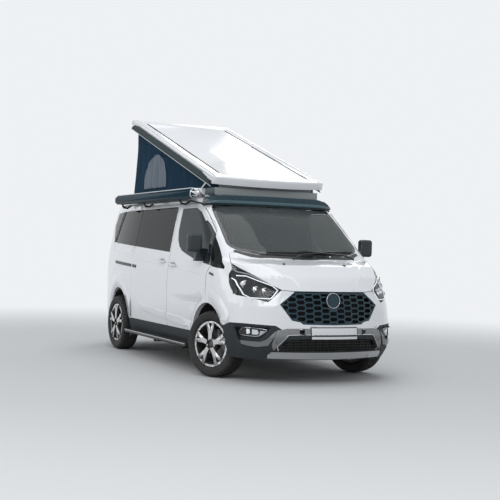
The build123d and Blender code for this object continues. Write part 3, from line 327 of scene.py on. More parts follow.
for node, piece in frame["nodes"].items():
    if node not in SMOOTH_NODES:
        piece.data.materials.clear()
        piece.data.materials.append(OWN_FINISH.get(node, SLOT_FINISH[slot_of[node]]))


# One joined copy of the outer panels guides the trims that lie on them, and is removed at the end
OUTER_NODES = ["body_side_left", "body_side_right", "roof_panel", "wings", "cowl_panel", "sill_trims", "windscreen",
               "side_glass", "sliding_door", "front_bumper", "bumper_cladding", "headlamps", "rear_bumper", "tail_lamps",
               "door_left", "door_right", "door_glass_left", "door_glass_right", "bonnet", "tailgate", "tailgate_glass"]


def joined(pieces, name):
    """The pieces as one object, with their shared edges merged."""
    bpy.ops.object.select_all(action="DESELECT")
    for piece in pieces:
        piece.select_set(True)
    bpy.context.view_layer.objects.active = pieces[0]
    if len(pieces) > 1:
        bpy.ops.object.join()
    made = bpy.context.object
    made.name = name
    bpy.ops.object.mode_set(mode="EDIT")
    bpy.ops.mesh.select_all(action="SELECT")
    bpy.ops.mesh.remove_doubles(threshold=0.0004)
    bpy.ops.object.mode_set(mode="OBJECT")
    return made


def spare_copy(source, name):
    copy = bpy.data.objects.new(name, source.data.copy())
    bpy.context.scene.collection.objects.link(copy)
    return copy


guide = joined([spare_copy(frame["nodes"][node], "guide_" + node) for node in OUTER_NODES], "guide")


def applied(piece, kind, **values):
    """A modifier of this kind with these values, applied."""
    only(piece)
    made = piece.modifiers.new(kind.lower(), kind)
    for key, value in values.items():
        setattr(made, key, value)
    bpy.ops.object.modifier_apply(modifier=made.name)


given_to = {}


def give(piece, body, slot_name, material=None):
    """Material, slot and body of a finished piece."""
    if material is not None:
        piece.data.materials.clear()
        piece.data.materials.append(material)
    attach(piece, body)
    given_to[piece.name] = (body, slot_name)
    return piece


# How a flat outline stands before it is laid on the van: its rows, and the axis that it moves along
STANDS = {
    "front": (Matrix(((0, 0, 1, 3.2), (1, 0, 0, 0), (0, 1, 0, 0), (0, 0, 0, 1))), "x", "negative"),
    "rear": (Matrix(((0, 0, -1, -3.2), (-1, 0, 0, 0), (0, 1, 0, 0), (0, 0, 0, 1))), "x", "positive"),
    "right": (Matrix(((1, 0, 0, 0), (0, 0, -1, -1.6), (0, 1, 0, 0), (0, 0, 0, 1))), "y", "positive"),
    "top": (Matrix(((1, 0, 0, 0), (0, 1, 0, 0), (0, 0, 1, 3.4), (0, 0, 0, 1))), "z", "negative"),
}


def flat_outline(name, outline, stand, step):
    """A flat grid cut to a convex outline of two coordinates in metres, standing off the van."""
    rows = STANDS[stand][0]
    low = [min(point[axis] for point in outline) for axis in (0, 1)]
    high = [max(point[axis] for point in outline) for axis in (0, 1)]
    size = [max(b - a, 0.001) for a, b in zip(low, high)]
    bpy.ops.object.select_all(action="DESELECT")
    bpy.ops.mesh.primitive_grid_add(x_subdivisions=max(2, math.ceil(size[0] / step)),
                                    y_subdivisions=max(2, math.ceil(size[1] / step)), size=1)
    piece = bpy.context.object
    piece.name = name
    centre = Matrix.Translation(((low[0] + high[0]) / 2, (low[1] + high[1]) / 2, 0))
    piece.matrix_world = rows @ centre @ Matrix.Diagonal((size[0] * 1.02, size[1] * 1.02, 1, 1))
    bpy.ops.object.transform_apply()
    pairs = list(zip(outline, outline[1:] + outline[:1]))
    turn = sum(a[0] * b[1] - b[0] * a[1] for a, b in pairs)
    bpy.ops.object.mode_set(mode="EDIT")
    for a, b in pairs:
        along = Vector((b[0] - a[0], b[1] - a[1]))
        if along.length < 1e-6:
            continue
        out = Vector((along.y, -along.x, 0)) * (1 if turn > 0 else -1)
        bpy.ops.mesh.select_all(action="SELECT")
        bpy.ops.mesh.bisect(plane_co=rows @ Vector((a[0], a[1], 0)), plane_no=(rows.to_3x3() @ out).normalized(),
                            clear_outer=True, threshold=1e-6)
    bpy.ops.object.mode_set(mode="OBJECT")
    return piece


def settle(piece, along, stood):
    """Points whose ray met nothing take the depth of the nearest point that was laid."""
    landed = [vertex.co.copy() for vertex in piece.data.vertices if abs(vertex.co[along] - stood) > 1e-4]
    for vertex in piece.data.vertices:
        if abs(vertex.co[along] - stood) <= 1e-4:
            flat = [(point - vertex.co) * Vector([0 if i == along else 1 for i in range(3)]) for point in landed]
            nearest = min(range(len(landed)), key=lambda index: flat[index].length_squared)
            vertex.co[along] = landed[nearest][along]


def laid(name, outlines, stand, body, slot_name, material, thick=0.003, rise=0.0, step=0.02, bevel=0.0, target=None,
         sides=2):
    """A plate laid on the van's skin: convex outlines in metres, seen from one side. rise lifts it off the skin."""
    flats = [flat_outline(f"{name}_{index}", outline, stand, step) for index, outline in enumerate(outlines)]
    piece = joined(flats, name)
    axis, way = STANDS[stand][1:]
    values = {"wrap_method": "PROJECT", "target": target or guide, "use_negative_direction": way == "negative",
              "use_positive_direction": way == "positive", "offset": rise}
    for letter in "xyz":
        values["use_project_" + letter] = letter == axis
    along = "xyz".index(axis)
    stood = piece.data.vertices[0].co[along]
    applied(piece, "SHRINKWRAP", **values)
    settle(piece, along, stood)
    if thick:
        applied(piece, "SOLIDIFY", thickness=thick, offset=0.7, use_even_offset=True)
    if bevel:
        applied(piece, "BEVEL", width=bevel, segments=sides, limit_method="ANGLE", angle_limit=math.radians(50))
    smooth(piece, 40)
    return give(piece, body, slot_name, material)


def other_side(piece, name, body=None):
    """The same piece mirrored across the van."""
    copy = spare_copy(piece, name)
    only(copy)
    copy.scale = (1, -1, 1)
    bpy.ops.object.transform_apply()
    bpy.ops.object.mode_set(mode="EDIT")
    bpy.ops.mesh.select_all(action="SELECT")
    bpy.ops.mesh.flip_normals()
    bpy.ops.object.mode_set(mode="OBJECT")
    given_body, slot_name = given_to[piece.name]
    return give(copy, body or given_body, slot_name)


def ribbon(points, width, closed=False):
    """Quads of even width along a flat path."""
    path = [Vector(point) for point in points]
    count = len(path)
    edge = []
    for index, point in enumerate(path):
        before = path[index - 1] if index or closed else None
        after = path[(index + 1) % count] if index < count - 1 or closed else None
        way_in = (point - before).normalized() if before is not None else None
        way_out = (after - point).normalized() if after is not None else None
        one = way_in or way_out
        two = way_out or way_in
        mean = (one + two).normalized()
        side = Vector((-mean.y, mean.x))
        reach = width / 2 / max(0.35, side.dot(Vector((-one.y, one.x))))
        edge.append((point + side * reach, point - side * reach))
    last = count if closed else count - 1
    quads = []
    for index in range(last):
        a, b = edge[index], edge[(index + 1) % count]
        quads.append([tuple(a[0]), tuple(b[0]), tuple(b[1]), tuple(a[1])])
    return quads


def halves(points):
    """A right half of (y, z) points, y > 0, closed across the middle."""
    return points + [(-y, z) for y, z in reversed(points) if y]



LAMP = [(0.523, 0.943), (0.610, 0.997), (0.706, 1.067), (0.801, 1.144), (0.847, 1.190), (0.915, 1.190), (0.915, 0.875),
        (0.884, 0.875), (0.828, 0.865), (0.658, 0.819)]


def right_half(points):
    """(y, z) points of the van's right side from points written with y > 0."""
    return [(-y, z) for y, z in points]


# Headlamps: a clear cover over a dark case, with a bright light guide, a lens tube and two reflectors
lamp_cover = panel("headlamps", LENS)
lamp_cover.data.materials.append(LAMP_CASE)
for face in lamp_cover.data.polygons:
    if face.normal.dot((face.center - Vector((1.35, 0, 0.98))).normalized()) < 0.45:
        face.material_index = 1

lamp_target = spare_copy(frame["nodes"]["headlamps"], "lamp_target")


def lamp_piece(name, outlines, material, rise, thick, step=0.02, bevel=0.0):
    made = laid(name + "_right", outlines, "front", "van", "lamp_lens", material, thick, rise, step, bevel,
                target=lamp_target)
    return made, other_side(made, name + "_left")


LAMP_FLOOR = [(0.548, 0.945), (0.612, 0.985), (0.706, 1.052), (0.795, 1.125), (0.842, 1.172), (0.880, 1.050),
              (0.905, 0.960), (0.895, 0.890), (0.826, 0.878), (0.668, 0.833)]
lamp_piece("lamp_floor", [right_half(LAMP_FLOOR)], LAMP_CASE, -0.034, 0.002)
LIGHT_GUIDE = [(0.880, 1.040), (0.862, 1.020), (0.856, 0.966), (0.832, 0.884), (0.788, 0.855), (0.640, 0.851),
               (0.618, 0.862), (0.558, 0.936), (0.592, 0.978), (0.699, 1.024), (0.778, 1.066), (0.846, 1.066)]
lamp_piece("lamp_light_guide", ribbon(right_half(LIGHT_GUIDE), 0.009), GLOW, -0.010, 0.006)
CHROME_BAND = [(0.846, 1.120), (0.830, 1.104), (0.758, 1.086), (0.690, 1.044), (0.612, 1.004)]
lamp_piece("lamp_bright_band", ribbon(right_half(CHROME_BAND), 0.012), LAMP_GREY, -0.012, 0.004)
lamp_piece("lamp_outer_shade", [right_half([(0.905, 1.16), (0.862, 1.06), (0.868, 0.96), (0.845, 0.882), (0.905, 0.886)])],
           LAMP_CASE, -0.006, 0.003)


def lamp_tube(name, y, z, radius, material_ring):
    """A round reflector that faces forward inside the lamp, with a rim and a lens shaped in its middle, all in one
    finish.
    """
    made = []
    start = Vector((lamp_face_x(y, z), -y, z))
    bpy.ops.object.select_all(action="DESELECT")
    bpy.ops.mesh.primitive_cylinder_add(vertices=40, radius=radius, depth=0.03, end_fill_type="NGON",
                                        location=start - Vector((0.045, 0, 0)), rotation=(0, math.radians(90), 0))
    tube = bpy.context.object
    tube.name = name + "_right"
    bpy.ops.object.transform_apply()
    bpy.ops.object.mode_set(mode="EDIT")
    bpy.ops.mesh.select_mode(type="FACE")
    bpy.ops.mesh.select_all(action="DESELECT")
    bpy.ops.object.mode_set(mode="OBJECT")
    for face in tube.data.polygons:
        face.select = face.normal.x > 0.9
    bpy.ops.object.mode_set(mode="EDIT")
    bpy.ops.mesh.inset(thickness=radius * 0.16, depth=0.004)
    bpy.ops.mesh.inset(thickness=radius * 0.12, depth=-0.012)
    bpy.ops.mesh.inset(thickness=radius * 0.30, depth=0.004)
    bpy.ops.mesh.inset(thickness=radius * 0.18, depth=0.006)
    bpy.ops.object.mode_set(mode="OBJECT")
    smooth(tube, 40)
    give(tube, "van", "lamp_lens", material_ring)
    made.append(tube)
    made.append(other_side(tube, name + "_left"))
    return made


def ray_to(target, start, way):
    """Where a ray meets an object whose place is in its mesh."""
    hit, place, normal, index = target.ray_cast(Vector(start), Vector(way))
    return place if hit else None


def lamp_face_x(y, z):
    return ray_to(lamp_target, (3.2, -y, z), (-1, 0, 0)).x


lamp_tube("lamp_projector", 0.800, 0.985, 0.040, LAMP_SILVER)
lamp_tube("lamp_reflector_a", 0.728, 0.935, 0.036, LAMP_SILVER)
lamp_tube("lamp_reflector_b", 0.660, 0.925, 0.034, LAMP_SILVER)

# Behind the grille: a dark wall, and a plain round boss where the maker's sign was
GRILLE_BACK = [(0.0, 0.945), (0.40, 0.94), (0.575, 0.803), (0.455, 0.630), (0.34, 0.595), (0.0, 0.59)]


def flat_wall(name, outline, stand, at, body, slot_name, material, thick):
    """A flat plate of a convex outline, standing at one value along its axis."""
    made = flat_outline(name, outline, stand, 0.2)
    axis = {"front": 0, "rear": 0, "right": 1, "top": 2}[stand]
    only(made)
    bpy.ops.object.mode_set(mode="EDIT")
    bpy.ops.mesh.select_all(action="SELECT")
    move = [0, 0, 0]
    move[axis] = at - made.data.vertices[0].co[axis]
    bpy.ops.transform.translate(value=move)
    bpy.ops.object.mode_set(mode="OBJECT")
    applied(made, "SOLIDIFY", thickness=thick, offset=-1)
    smooth(made, 30)
    return give(made, body, slot_name, material)


flat_wall("radiator_wall", halves(GRILLE_BACK), "front", 2.268, "van", "grille_plastic", MESH_BLACK, 0.01)


def disc(name, at, radius, depth, axis, body, slot_name, material, steps=((0.1, 0.3),), vertices=48):
    """A turned boss facing along an axis: steps are (inset share of the radius, rise share of the depth)."""
    bpy.ops.object.select_all(action="DESELECT")
    bpy.ops.mesh.primitive_cylinder_add(vertices=vertices, radius=radius, depth=depth, end_fill_type="NGON")
    made = bpy.context.object
    made.name = name
    only(made)
    for face in made.data.polygons:
        face.select = face.normal.z > 0.9
    for edge in made.data.edges:
        edge.select = False
    bpy.ops.object.mode_set(mode="EDIT")
    bpy.ops.mesh.select_mode(type="FACE")
    bpy.ops.object.mode_set(mode="OBJECT")
    for face in made.data.polygons:
        face.select = face.normal.z > 0.9
    bpy.ops.object.mode_set(mode="EDIT")
    for inset, rise in steps:
        bpy.ops.mesh.inset(thickness=radius * inset, depth=depth * rise)
    bpy.ops.object.mode_set(mode="OBJECT")
    made.matrix_world = Matrix.Translation(at) @ Vector(axis).to_track_quat("Z", "Y").to_matrix().to_4x4()
    bpy.ops.object.transform_apply()
    smooth(made, 35)
    return give(made, body, slot_name, material)


boss_x = ray_to(skins["grille"], (3.2, 0, 0.845), (-1, 0, 0)).x
disc("grille_boss", (boss_x + 0.006, 0, 0.845), 0.078, 0.02, (1, 0, 0.10), "van", "grille_plastic", TEAL,
     ((0.04, 0.0), (0.05, -0.25), (0.2, 0.10), (0.3, 0.08)))
bpy.ops.object.select_all(action="DESELECT")
bpy.ops.mesh.primitive_torus_add(location=(boss_x + 0.017, 0, 0.846), rotation=(0, math.radians(84), 0), major_segments=64,
                                 minor_segments=12, major_radius=0.0745, minor_radius=0.0042)
boss_ring = bpy.context.object
boss_ring.name = "grille_boss_ring"
bpy.ops.object.transform_apply()
smooth(boss_ring, 60)
give(boss_ring, "van", "grille_plastic", LAMP_GREY)

# Lower intake: mesh in front of a dark wall, with a bright edge and a satin trim beside it
INTAKE = [(0.0, 0.474), (0.31, 0.474), (0.515, 0.458), (0.580, 0.372), (0.575, 0.333), (0.0, 0.333)]
flat_wall("intake_wall", halves(INTAKE), "front", 2.300, "van", "dark_plastic", MESH_BLACK, 0.01)
bars = []
for index in range(5):
    z = 0.356 + index * 0.026
    reach = 0.565 if z < 0.4 else 0.50
    bars.extend(ribbon([(-reach, z), (reach, z)], 0.007))
for index in range(-13, 14):
    y = index * 0.042
    top = 0.464 if abs(y) < 0.31 else 0.452 if abs(y) < 0.48 else 0.40
    bars.extend(ribbon([(y, 0.343), (y + (0.012 if index % 2 else -0.012), top)], 0.006))


def framed(name, quads, at_x, body, slot_name, material, thick=0.006):
    """Flat bars standing in one plane across the van."""
    flats = [flat_outline(f"{name}_{index}", quad, "front", 0.5) for index, quad in enumerate(quads)]
    made = joined(flats, name)
    only(made)
    bpy.ops.object.mode_set(mode="EDIT")
    bpy.ops.mesh.select_all(action="SELECT")
    bpy.ops.transform.translate(value=(at_x - 3.2, 0, 0))
    bpy.ops.object.mode_set(mode="OBJECT")
    applied(made, "SOLIDIFY", thickness=thick, offset=0)
    smooth(made, 30)
    return give(made, body, slot_name, material)


framed("intake_mesh", bars, 2.345, "van", "dark_plastic", BLACK)
FRAME_QUADS = [[(0.0, 0.574), (0.500, 0.566), (0.490, 0.506), (0.0, 0.520)],
               [(0.500, 0.566), (0.590, 0.545), (0.622, 0.480), (0.580, 0.395), (0.490, 0.506)],
               [(0.622, 0.480), (0.634, 0.400), (0.616, 0.350), (0.600, 0.360), (0.580, 0.395)]]
frame_edge = laid("intake_edge_right", [right_half(quad) for quad in ribbon([(0.0, 0.516), (0.488, 0.503), (0.585, 0.385), (0.566, 0.342)], 0.007)],
                  "front", "van", "dark_plastic", SILVER, 0.004, 0.002, 0.03, 0.001)
other_side(frame_edge, "intake_edge_left")
frame_trim = laid("bumper_satin_edge_right", [right_half(quad) for quad in FRAME_QUADS], "front", "van",
                  "dark_plastic", DARK_SATIN, 0.004, 0.001, 0.03, 0.0015)
other_side(frame_trim, "bumper_satin_edge_left")

# Fog lamps in their pods, and the blade that runs under them
BLADE = [[(0.868, 0.434), (0.795, 0.430), (0.811, 0.384), (0.862, 0.400)],
         [(0.811, 0.384), (0.795, 0.430), (0.730, 0.430), (0.760, 0.377)],
         [(0.760, 0.377), (0.730, 0.430), (0.687, 0.456), (0.663, 0.395)],
         [(0.663, 0.395), (0.687, 0.456), (0.633, 0.511), (0.594, 0.549)]]
blade = laid("bumper_blade_right", [right_half(part) for part in BLADE], "front", "van", "dark_plastic", DARK_SATIN,
             0.010, 0.002, 0.008, 0.003)
other_side(blade, "bumper_blade_left")
FOG = [(0.874, 0.500), (0.866, 0.486), (0.771, 0.478), (0.735, 0.484), (0.672, 0.541), (0.682, 0.552), (0.832, 0.567),
       (0.853, 0.558)]
FOG_BOWL = [(0.860, 0.512), (0.850, 0.500), (0.814, 0.497), (0.802, 0.512), (0.806, 0.550), (0.842, 0.553), (0.854, 0.538)]
FOG_BOWL_DIM = [(0.790, 0.497), (0.754, 0.495), (0.740, 0.510), (0.748, 0.542), (0.788, 0.548)]
FOG_CORNER = [(0.738, 0.489), (0.692, 0.531), (0.728, 0.534), (0.734, 0.506)]
for label, quads, finish_used, lift, thick in (
        ("fog_lamp_case", [FOG], LAMP_CASE, 0.012, 0.010), ("fog_lamp_bowl", [FOG_BOWL], LAMP_SILVER, 0.021, 0.004),
        ("fog_lamp_bowl_dim", [FOG_BOWL_DIM], LAMP_GLASS, 0.021, 0.004),
        ("fog_lamp_corner", [FOG_CORNER], LAMP_GREY, 0.021, 0.004)):
    made = laid(label + "_right", [right_half(quad) for quad in quads], "front", "van", "lamp_lens", finish_used, thick,
                lift, 0.008, 0.0015)
    other_side(made, label + "_left")

# Number plates, blank
for name, stand, z, body in (("plate_front", "front", 0.520, "van"), ("plate_rear", "rear", 0.86, "tailgate")):
    reach = 0.26
    base = [(-reach - 0.008, z - 0.063), (reach + 0.008, z - 0.063), (reach + 0.008, z + 0.063), (-reach - 0.008, z + 0.063)]
    laid(name + "_holder", [base], stand, body, "dark_plastic", BLACK, 0.010, 0.002, 0.06, 0.002)
    face = [(-reach, z - 0.055), (reach, z - 0.055), (reach, z + 0.055), (-reach, z + 0.055)]
    laid(name, [face], stand, body, "white_paint", PLATE_WHITE, 0.003, 0.0095, 0.06, 0.001)

# Windscreen: dark printed edge, wipers, washers and the sensor box behind the glass
SCREEN = [(0.0, 1.863), (0.420, 1.849), (0.703, 1.812), (0.730, 1.786), (0.749, 1.712), (0.764, 1.544), (0.779, 1.408),
          (0.781, 1.385), (0.762, 1.357), (0.723, 1.333), (0.659, 1.314), (0.505, 1.288), (0.0, 1.278)]


def shrunk(points, by):
    """A convex outline drawn in by a width."""
    pairs = list(zip(points, points[1:] + points[:1]))
    turn = 1 if sum(a[0] * b[1] - b[0] * a[1] for a, b in pairs) > 0 else -1
    sides = []
    for a, b in pairs:
        along = (Vector(b) - Vector(a)).normalized()
        normal = Vector((along.y, -along.x)) * turn
        sides.append((normal, normal.dot(Vector(a)) - by))
    moved = []
    for (n0, d0), (n1, d1) in zip(sides[-1:] + sides[:-1], sides):
        cross = n0.x * n1.y - n0.y * n1.x
        if abs(cross) < 1e-5:
            moved.append((n1.x * d1, n1.y * d1))
        else:
            moved.append(((d0 * n1.y - d1 * n0.y) / cross, (n0.x * d1 - n1.x * d0) / cross))
    return moved


def edge_ring(outline, width):
    """Quads between an outline and the same outline drawn in."""
    inside = shrunk(outline, width)
    count = len(outline)
    return [[outline[i], outline[(i + 1) % count], inside[(i + 1) % count], inside[i]] for i in range(count)]


screen_target = spare_copy(frame["nodes"]["windscreen"], "screen_target")
laid("windscreen_edge", edge_ring(halves(SCREEN), 0.030), "front", "van", "clear_glass", FRIT, 0.0, 0.0006, 0.04,
     target=screen_target)


def rod(name, points, radius, body, slot_name, material, sides=8, taper=None):
    """A round bar along points."""
    curve = bpy.data.curves.new(name, "CURVE")
    curve.dimensions = "3D"
    spline = curve.splines.new("POLY")
    spline.points.add(len(points) - 1)
    for index, point in enumerate(points):
        spline.points[index].co = (*point, 1)
        spline.points[index].radius = taper[index] if taper else 1.0
    curve.bevel_depth = radius
    curve.bevel_resolution = max(1, sides // 4)
    curve.use_fill_caps = True
    made = bpy.data.objects.new(name, curve)
    bpy.context.scene.collection.objects.link(made)
    only(made)
    bpy.ops.object.convert(target="MESH")
    made = bpy.context.object
    made.name = name
    smooth(made, 50)
    return give(made, body, slot_name, material)


def on_screen(y, z, off):
    """A point over the windscreen, off its face."""
    place = ray_to(screen_target, (3.2, y, z), (-1, 0, 0))
    return place + Vector((0.6, 0, 0.8)) * off


for name, tip, middle, end, pivot in (
        ("wiper_right", (-0.422, 1.298), (0.02, 1.305), (0.36, 1.300), (0.60, 1.262)),
        ("wiper_left", (0.05, 1.300), (0.40, 1.306), (0.68, 1.330), (0.30, 1.258))):
    ends = [on_screen(*tip, 0.012)] + [on_screen(tip[0] + (end[0] - tip[0]) * s, tip[1] + (end[1] - tip[1]) * s, 0.012)
                                       for s in (0.25, 0.5, 0.75, 1.0)]
    rod(name + "_blade", ends, 0.0065, "van", "dark_plastic", BLACK, 8)
    bow = [point + Vector((0.004, 0, 0.008)) for point in ends]
    rod(name + "_bow", bow, 0.005, "van", "dark_plastic", BLACK, 8, [0.3, 1.0, 1.6, 1.0, 0.3])
foot = Vector((1.812, 0.60, 1.262))
rod("wiper_arm_right", [foot, foot + Vector((-0.02, -0.12, 0.040)), on_screen(0.02, 1.305, 0.034), on_screen(-0.06, 1.303, 0.030)],
    0.009, "van", "dark_plastic", BLACK, 8, [1.4, 1.0, 0.8, 0.6])
foot = Vector((1.842, -0.16, 1.252))
rod("wiper_arm_left", [foot, foot + Vector((-0.03, 0.12, 0.045)), on_screen(0.34, 1.306, 0.034), on_screen(0.42, 1.306, 0.030)],
    0.009, "van", "dark_plastic", BLACK, 8, [1.4, 1.0, 0.8, 0.6])
for sign in (-1, 1):
    laid(f"washer_nozzle_{'left' if sign > 0 else 'right'}",
         [[(2.004, sign * 0.359 - 0.014), (2.028, sign * 0.359 - 0.014), (2.028, sign * 0.359 + 0.014),
           (2.004, sign * 0.359 + 0.014)]], "top", "bonnet", "dark_plastic", BLACK, 0.010, 0.0, 0.01, 0.003)
sensor = [(-0.09, 1.835), (0.09, 1.835), (0.065, 1.745), (-0.065, 1.745)]
laid("windscreen_sensor_box", [sensor], "front", "van", "dark_plastic", BLACK, 0.03, -0.045, 0.05, 0.006,
     target=screen_target)

# Side: handles, sliding rail slot, small side lamp, pressings and wheel arch flares
SLOT = [(-1.700, 1.104), (-0.932, 1.076), (-0.932, 1.112), (-1.700, 1.142)]
laid("rail_slot_right", [SLOT], "right", "van", "dark_plastic", BLACK, 0.003, 0.0005, 0.04, 0.001)
SLOT_END = [(-0.893, 1.074), (-0.748, 1.066), (-0.748, 1.104), (-0.893, 1.110)]
laid("rail_slot_end_right", [SLOT_END], "right", "van", "dark_plastic", BLACK, 0.003, 0.0005, 0.04, 0.001)
lamp_plate = laid("side_lamp_right", [[(1.512, 1.070), (1.610, 1.052), (1.606, 1.072), (1.520, 1.090)]], "right", "van",
                  "dark_plastic", BLACK, 0.008, 0.001, 0.02, 0.003)
other_side(lamp_plate, "side_lamp_left")


def door_handle(name, x0, z0, x1, z1, body):
    """A pull bar over a hollow cup, along the belt of a door. The cup is a flat grey plate whose grey is painted shade
    in the hollow.
    """
    along = Vector((x1 - x0, 0, z1 - z0))
    slope = along.normalized()
    middle = ((x0 + x1) / 2, (z0 + z1) / 2)
    cup = [(middle[0] + 0.075 * math.cos(math.radians(a)), middle[1] + 0.030 * math.sin(math.radians(a)))
           for a in range(0, 360, 30)]
    # The cup's grey is painted shade in the hollow behind the bar
    laid(name + "_cup", [cup], "right", body, "dark_plastic", CUP_GREY, 0.0015, 0.0006, 0.02)
    points = []
    for share, off in ((0.0, 0.006), (0.08, 0.026), (0.3, 0.034), (0.7, 0.034), (0.92, 0.026), (1.0, 0.006)):
        x, z = x0 + along.x * share, z0 + along.z * share
        skin = ray_to(guide, (x, -1.6, z), (0, 1, 0))
        points.append(skin - Vector((0, off, 0)))
    bar = rod(name, points, 0.012, body, "white_paint", PAINT, 12)
    return bar


door_handle("handle_sliding_door", 0.030, 1.187, 0.215, 1.163, "van")
door_handle("handle_door_right", 0.372, 1.152, 0.560, 1.129, "door_right")
for piece_name in ("handle_door_right", "handle_door_right_cup"):
    other_side(bpy.data.objects[piece_name], piece_name.replace("right", "left"), "door_left")

PRESSING_REAR = [(-0.579, 0.649), (0.316, 0.594), (0.316, 0.510), (-0.485, 0.566)]
PRESSING_FRONT = [(0.344, 0.592), (0.830, 0.562), (0.920, 0.486), (0.885, 0.470), (0.344, 0.508)]
laid("door_pressing_rear", [PRESSING_REAR], "right", "van", "white_paint", PAINT, 0.012, 0.0, 0.04, 0.007, sides=3)
pressing = laid("door_pressing_right", [PRESSING_FRONT], "right", "door_right", "white_paint", PAINT, 0.012, 0.0, 0.04,
                0.007, sides=3)
other_side(pressing, "door_pressing_left", "door_left")


def flare(name, centre, radii, lifts, keep, fade, node_names):
    """A raised band round a wheel arch. keep lists (point, normal) planes that cut it, fade is (x or z, from, to)."""
    bpy.ops.object.select_all(action="DESELECT")
    bpy.ops.mesh.primitive_circle_add(vertices=128, radius=radii[0], fill_type="NOTHING",
                                      location=(centre[0], -1.6, centre[1]), rotation=(math.radians(90), 0, 0))
    made = bpy.context.object
    made.name = name
    bpy.ops.object.transform_apply()
    bpy.ops.object.mode_set(mode="EDIT")
    bpy.ops.mesh.select_mode(type="VERT")
    bpy.ops.mesh.select_all(action="SELECT")
    for before, radius in zip(radii, radii[1:]):
        bpy.ops.mesh.extrude_region_move()
        bpy.ops.transform.resize(value=(radius / before, 1, radius / before), center_override=(centre[0], -1.6, centre[1]))
    for place, normal in keep:
        bpy.ops.mesh.select_all(action="SELECT")
        bpy.ops.mesh.bisect(plane_co=(place[0], -1.6, place[1]), plane_no=(normal[0], 0, normal[1]), clear_outer=True)
    bpy.ops.object.mode_set(mode="OBJECT")
    target = joined([spare_copy(frame["nodes"][node], "flare_target") for node in node_names], "flare_target")
    applied(made, "SHRINKWRAP", wrap_method="PROJECT", target=target, use_project_x=False, use_project_y=True,
            use_project_z=False, use_negative_direction=False, use_positive_direction=True, offset=0.0)
    bpy.data.objects.remove(target)
    low, high = fade
    for vertex in made.data.vertices:
        reach = math.hypot(vertex.co.x - centre[0], vertex.co.z - centre[1])
        lift = lifts[-1]
        for index in range(len(radii) - 1):
            if radii[index] - 1e-4 <= reach <= radii[index + 1]:
                share = (reach - radii[index]) / (radii[index + 1] - radii[index])
                lift = lifts[index] + (lifts[index + 1] - lifts[index]) * share
        angle = math.degrees(math.atan2(vertex.co.z - centre[1], vertex.co.x - centre[0]))
        part = min(1.0, max(0.0, (angle - low[0]) / (low[1] - low[0]))) * min(1.0, max(0.0, (high[1] - angle) / (high[1] - high[0])))
        vertex.co.y -= lift * (part if lift > 0 else 1)
    only(made)
    bpy.ops.object.mode_set(mode="EDIT")
    bpy.ops.mesh.select_all(action="SELECT")
    bpy.ops.mesh.normals_make_consistent()
    bpy.ops.object.mode_set(mode="OBJECT")
    if sum(face.normal.y * face.area for face in made.data.polygons) > 0:
        bpy.ops.object.mode_set(mode="EDIT")
        bpy.ops.mesh.flip_normals()
        bpy.ops.object.mode_set(mode="OBJECT")
    smooth(made, 60)
    give(made, "van", "white_paint", PAINT)
    other_side(made, name.replace("right", "left"))


flare("flare_front_right", (1.483, 0.344), (0.426, 0.440, 0.540, 0.556, 0.578, 0.596), (-0.004, 0.010, 0.013, 0.011, 0.002, -0.002),
      [((0, 0.612), (0, -1)), ((1.500, 0), (-1, 0)), ((1.960, 0), (1, 0))], ((0, 1), (45, 88)), ["wings"])
flare("flare_rear_right", (-1.44, 0.356), (0.442, 0.456, 0.575, 0.592, 0.618, 0.640), (-0.004, 0.010, 0.013, 0.011, 0.002, -0.002),
      [((0, 0.445), (0, -1)), ((-0.912, 0), (1, 0)), ((-2.02, 0), (-1, 0))], ((0, 1), (150, 178)),
      ["body_side_right"])


# Wheels: machined spoke faces over dark pockets, brake disc, nuts, blank cap, and a tyre with its tread
def profile_mesh(name, points):
    """Open line of (radius, across) points, standing in the plane through the wheel's axis."""
    curve = bpy.data.curves.new(name, "CURVE")
    curve.dimensions = "3D"
    spline = curve.splines.new("POLY")
    spline.points.add(len(points) - 1)
    for index, (radius, across) in enumerate(points):
        spline.points[index].co = (0, across, radius, 1)
    made = bpy.data.objects.new(name, curve)
    bpy.context.scene.collection.objects.link(made)
    only(made)
    bpy.ops.object.convert(target="MESH")
    made = bpy.context.object
    made.name = name
    return made


def turned(name, points, steps):
    """The profile turned once round the Y axis."""
    made = profile_mesh(name, points)
    only(made)
    bpy.ops.object.mode_set(mode="EDIT")
    bpy.ops.mesh.select_all(action="SELECT")
    bpy.ops.mesh.spin(steps=steps, angle=math.tau, center=(0, 0, 0), axis=(0, 1, 0))
    bpy.ops.mesh.select_all(action="SELECT")
    bpy.ops.mesh.remove_doubles(threshold=0.00005)
    bpy.ops.mesh.normals_make_consistent()
    bpy.ops.object.mode_set(mode="OBJECT")
    return made


TREAD_STEPS = 144
HALF_TREAD = [(0.3440, 0.006), (0.3438, 0.016), (0.3365, 0.018), (0.3365, 0.024), (0.3436, 0.026), (0.3430, 0.050),
              (0.3355, 0.052), (0.3355, 0.059), (0.3420, 0.061), (0.3385, 0.082), (0.3340, 0.092), (0.3240, 0.1010),
              (0.3090, 0.1060), (0.3070, 0.1052), (0.2900, 0.1070), (0.2700, 0.1050), (0.2540, 0.0990), (0.2530, 0.0975),
              (0.2440, 0.0925), (0.2375, 0.0850), (0.2368, 0.0800), (0.2300, 0.0780)]
TYRE_LINE = [(radius, -across) for radius, across in reversed(HALF_TREAD)] + [(0.3365, -0.004), (0.3365, 0.004)] + HALF_TREAD
tyre_blank = turned("tyre_blank", TYRE_LINE + [TYRE_LINE[0]], TREAD_STEPS)
only(tyre_blank)
bpy.ops.object.mode_set(mode="EDIT")
bpy.ops.mesh.select_mode(type="FACE")
bpy.ops.mesh.select_all(action="DESELECT")
bpy.ops.object.mode_set(mode="OBJECT")
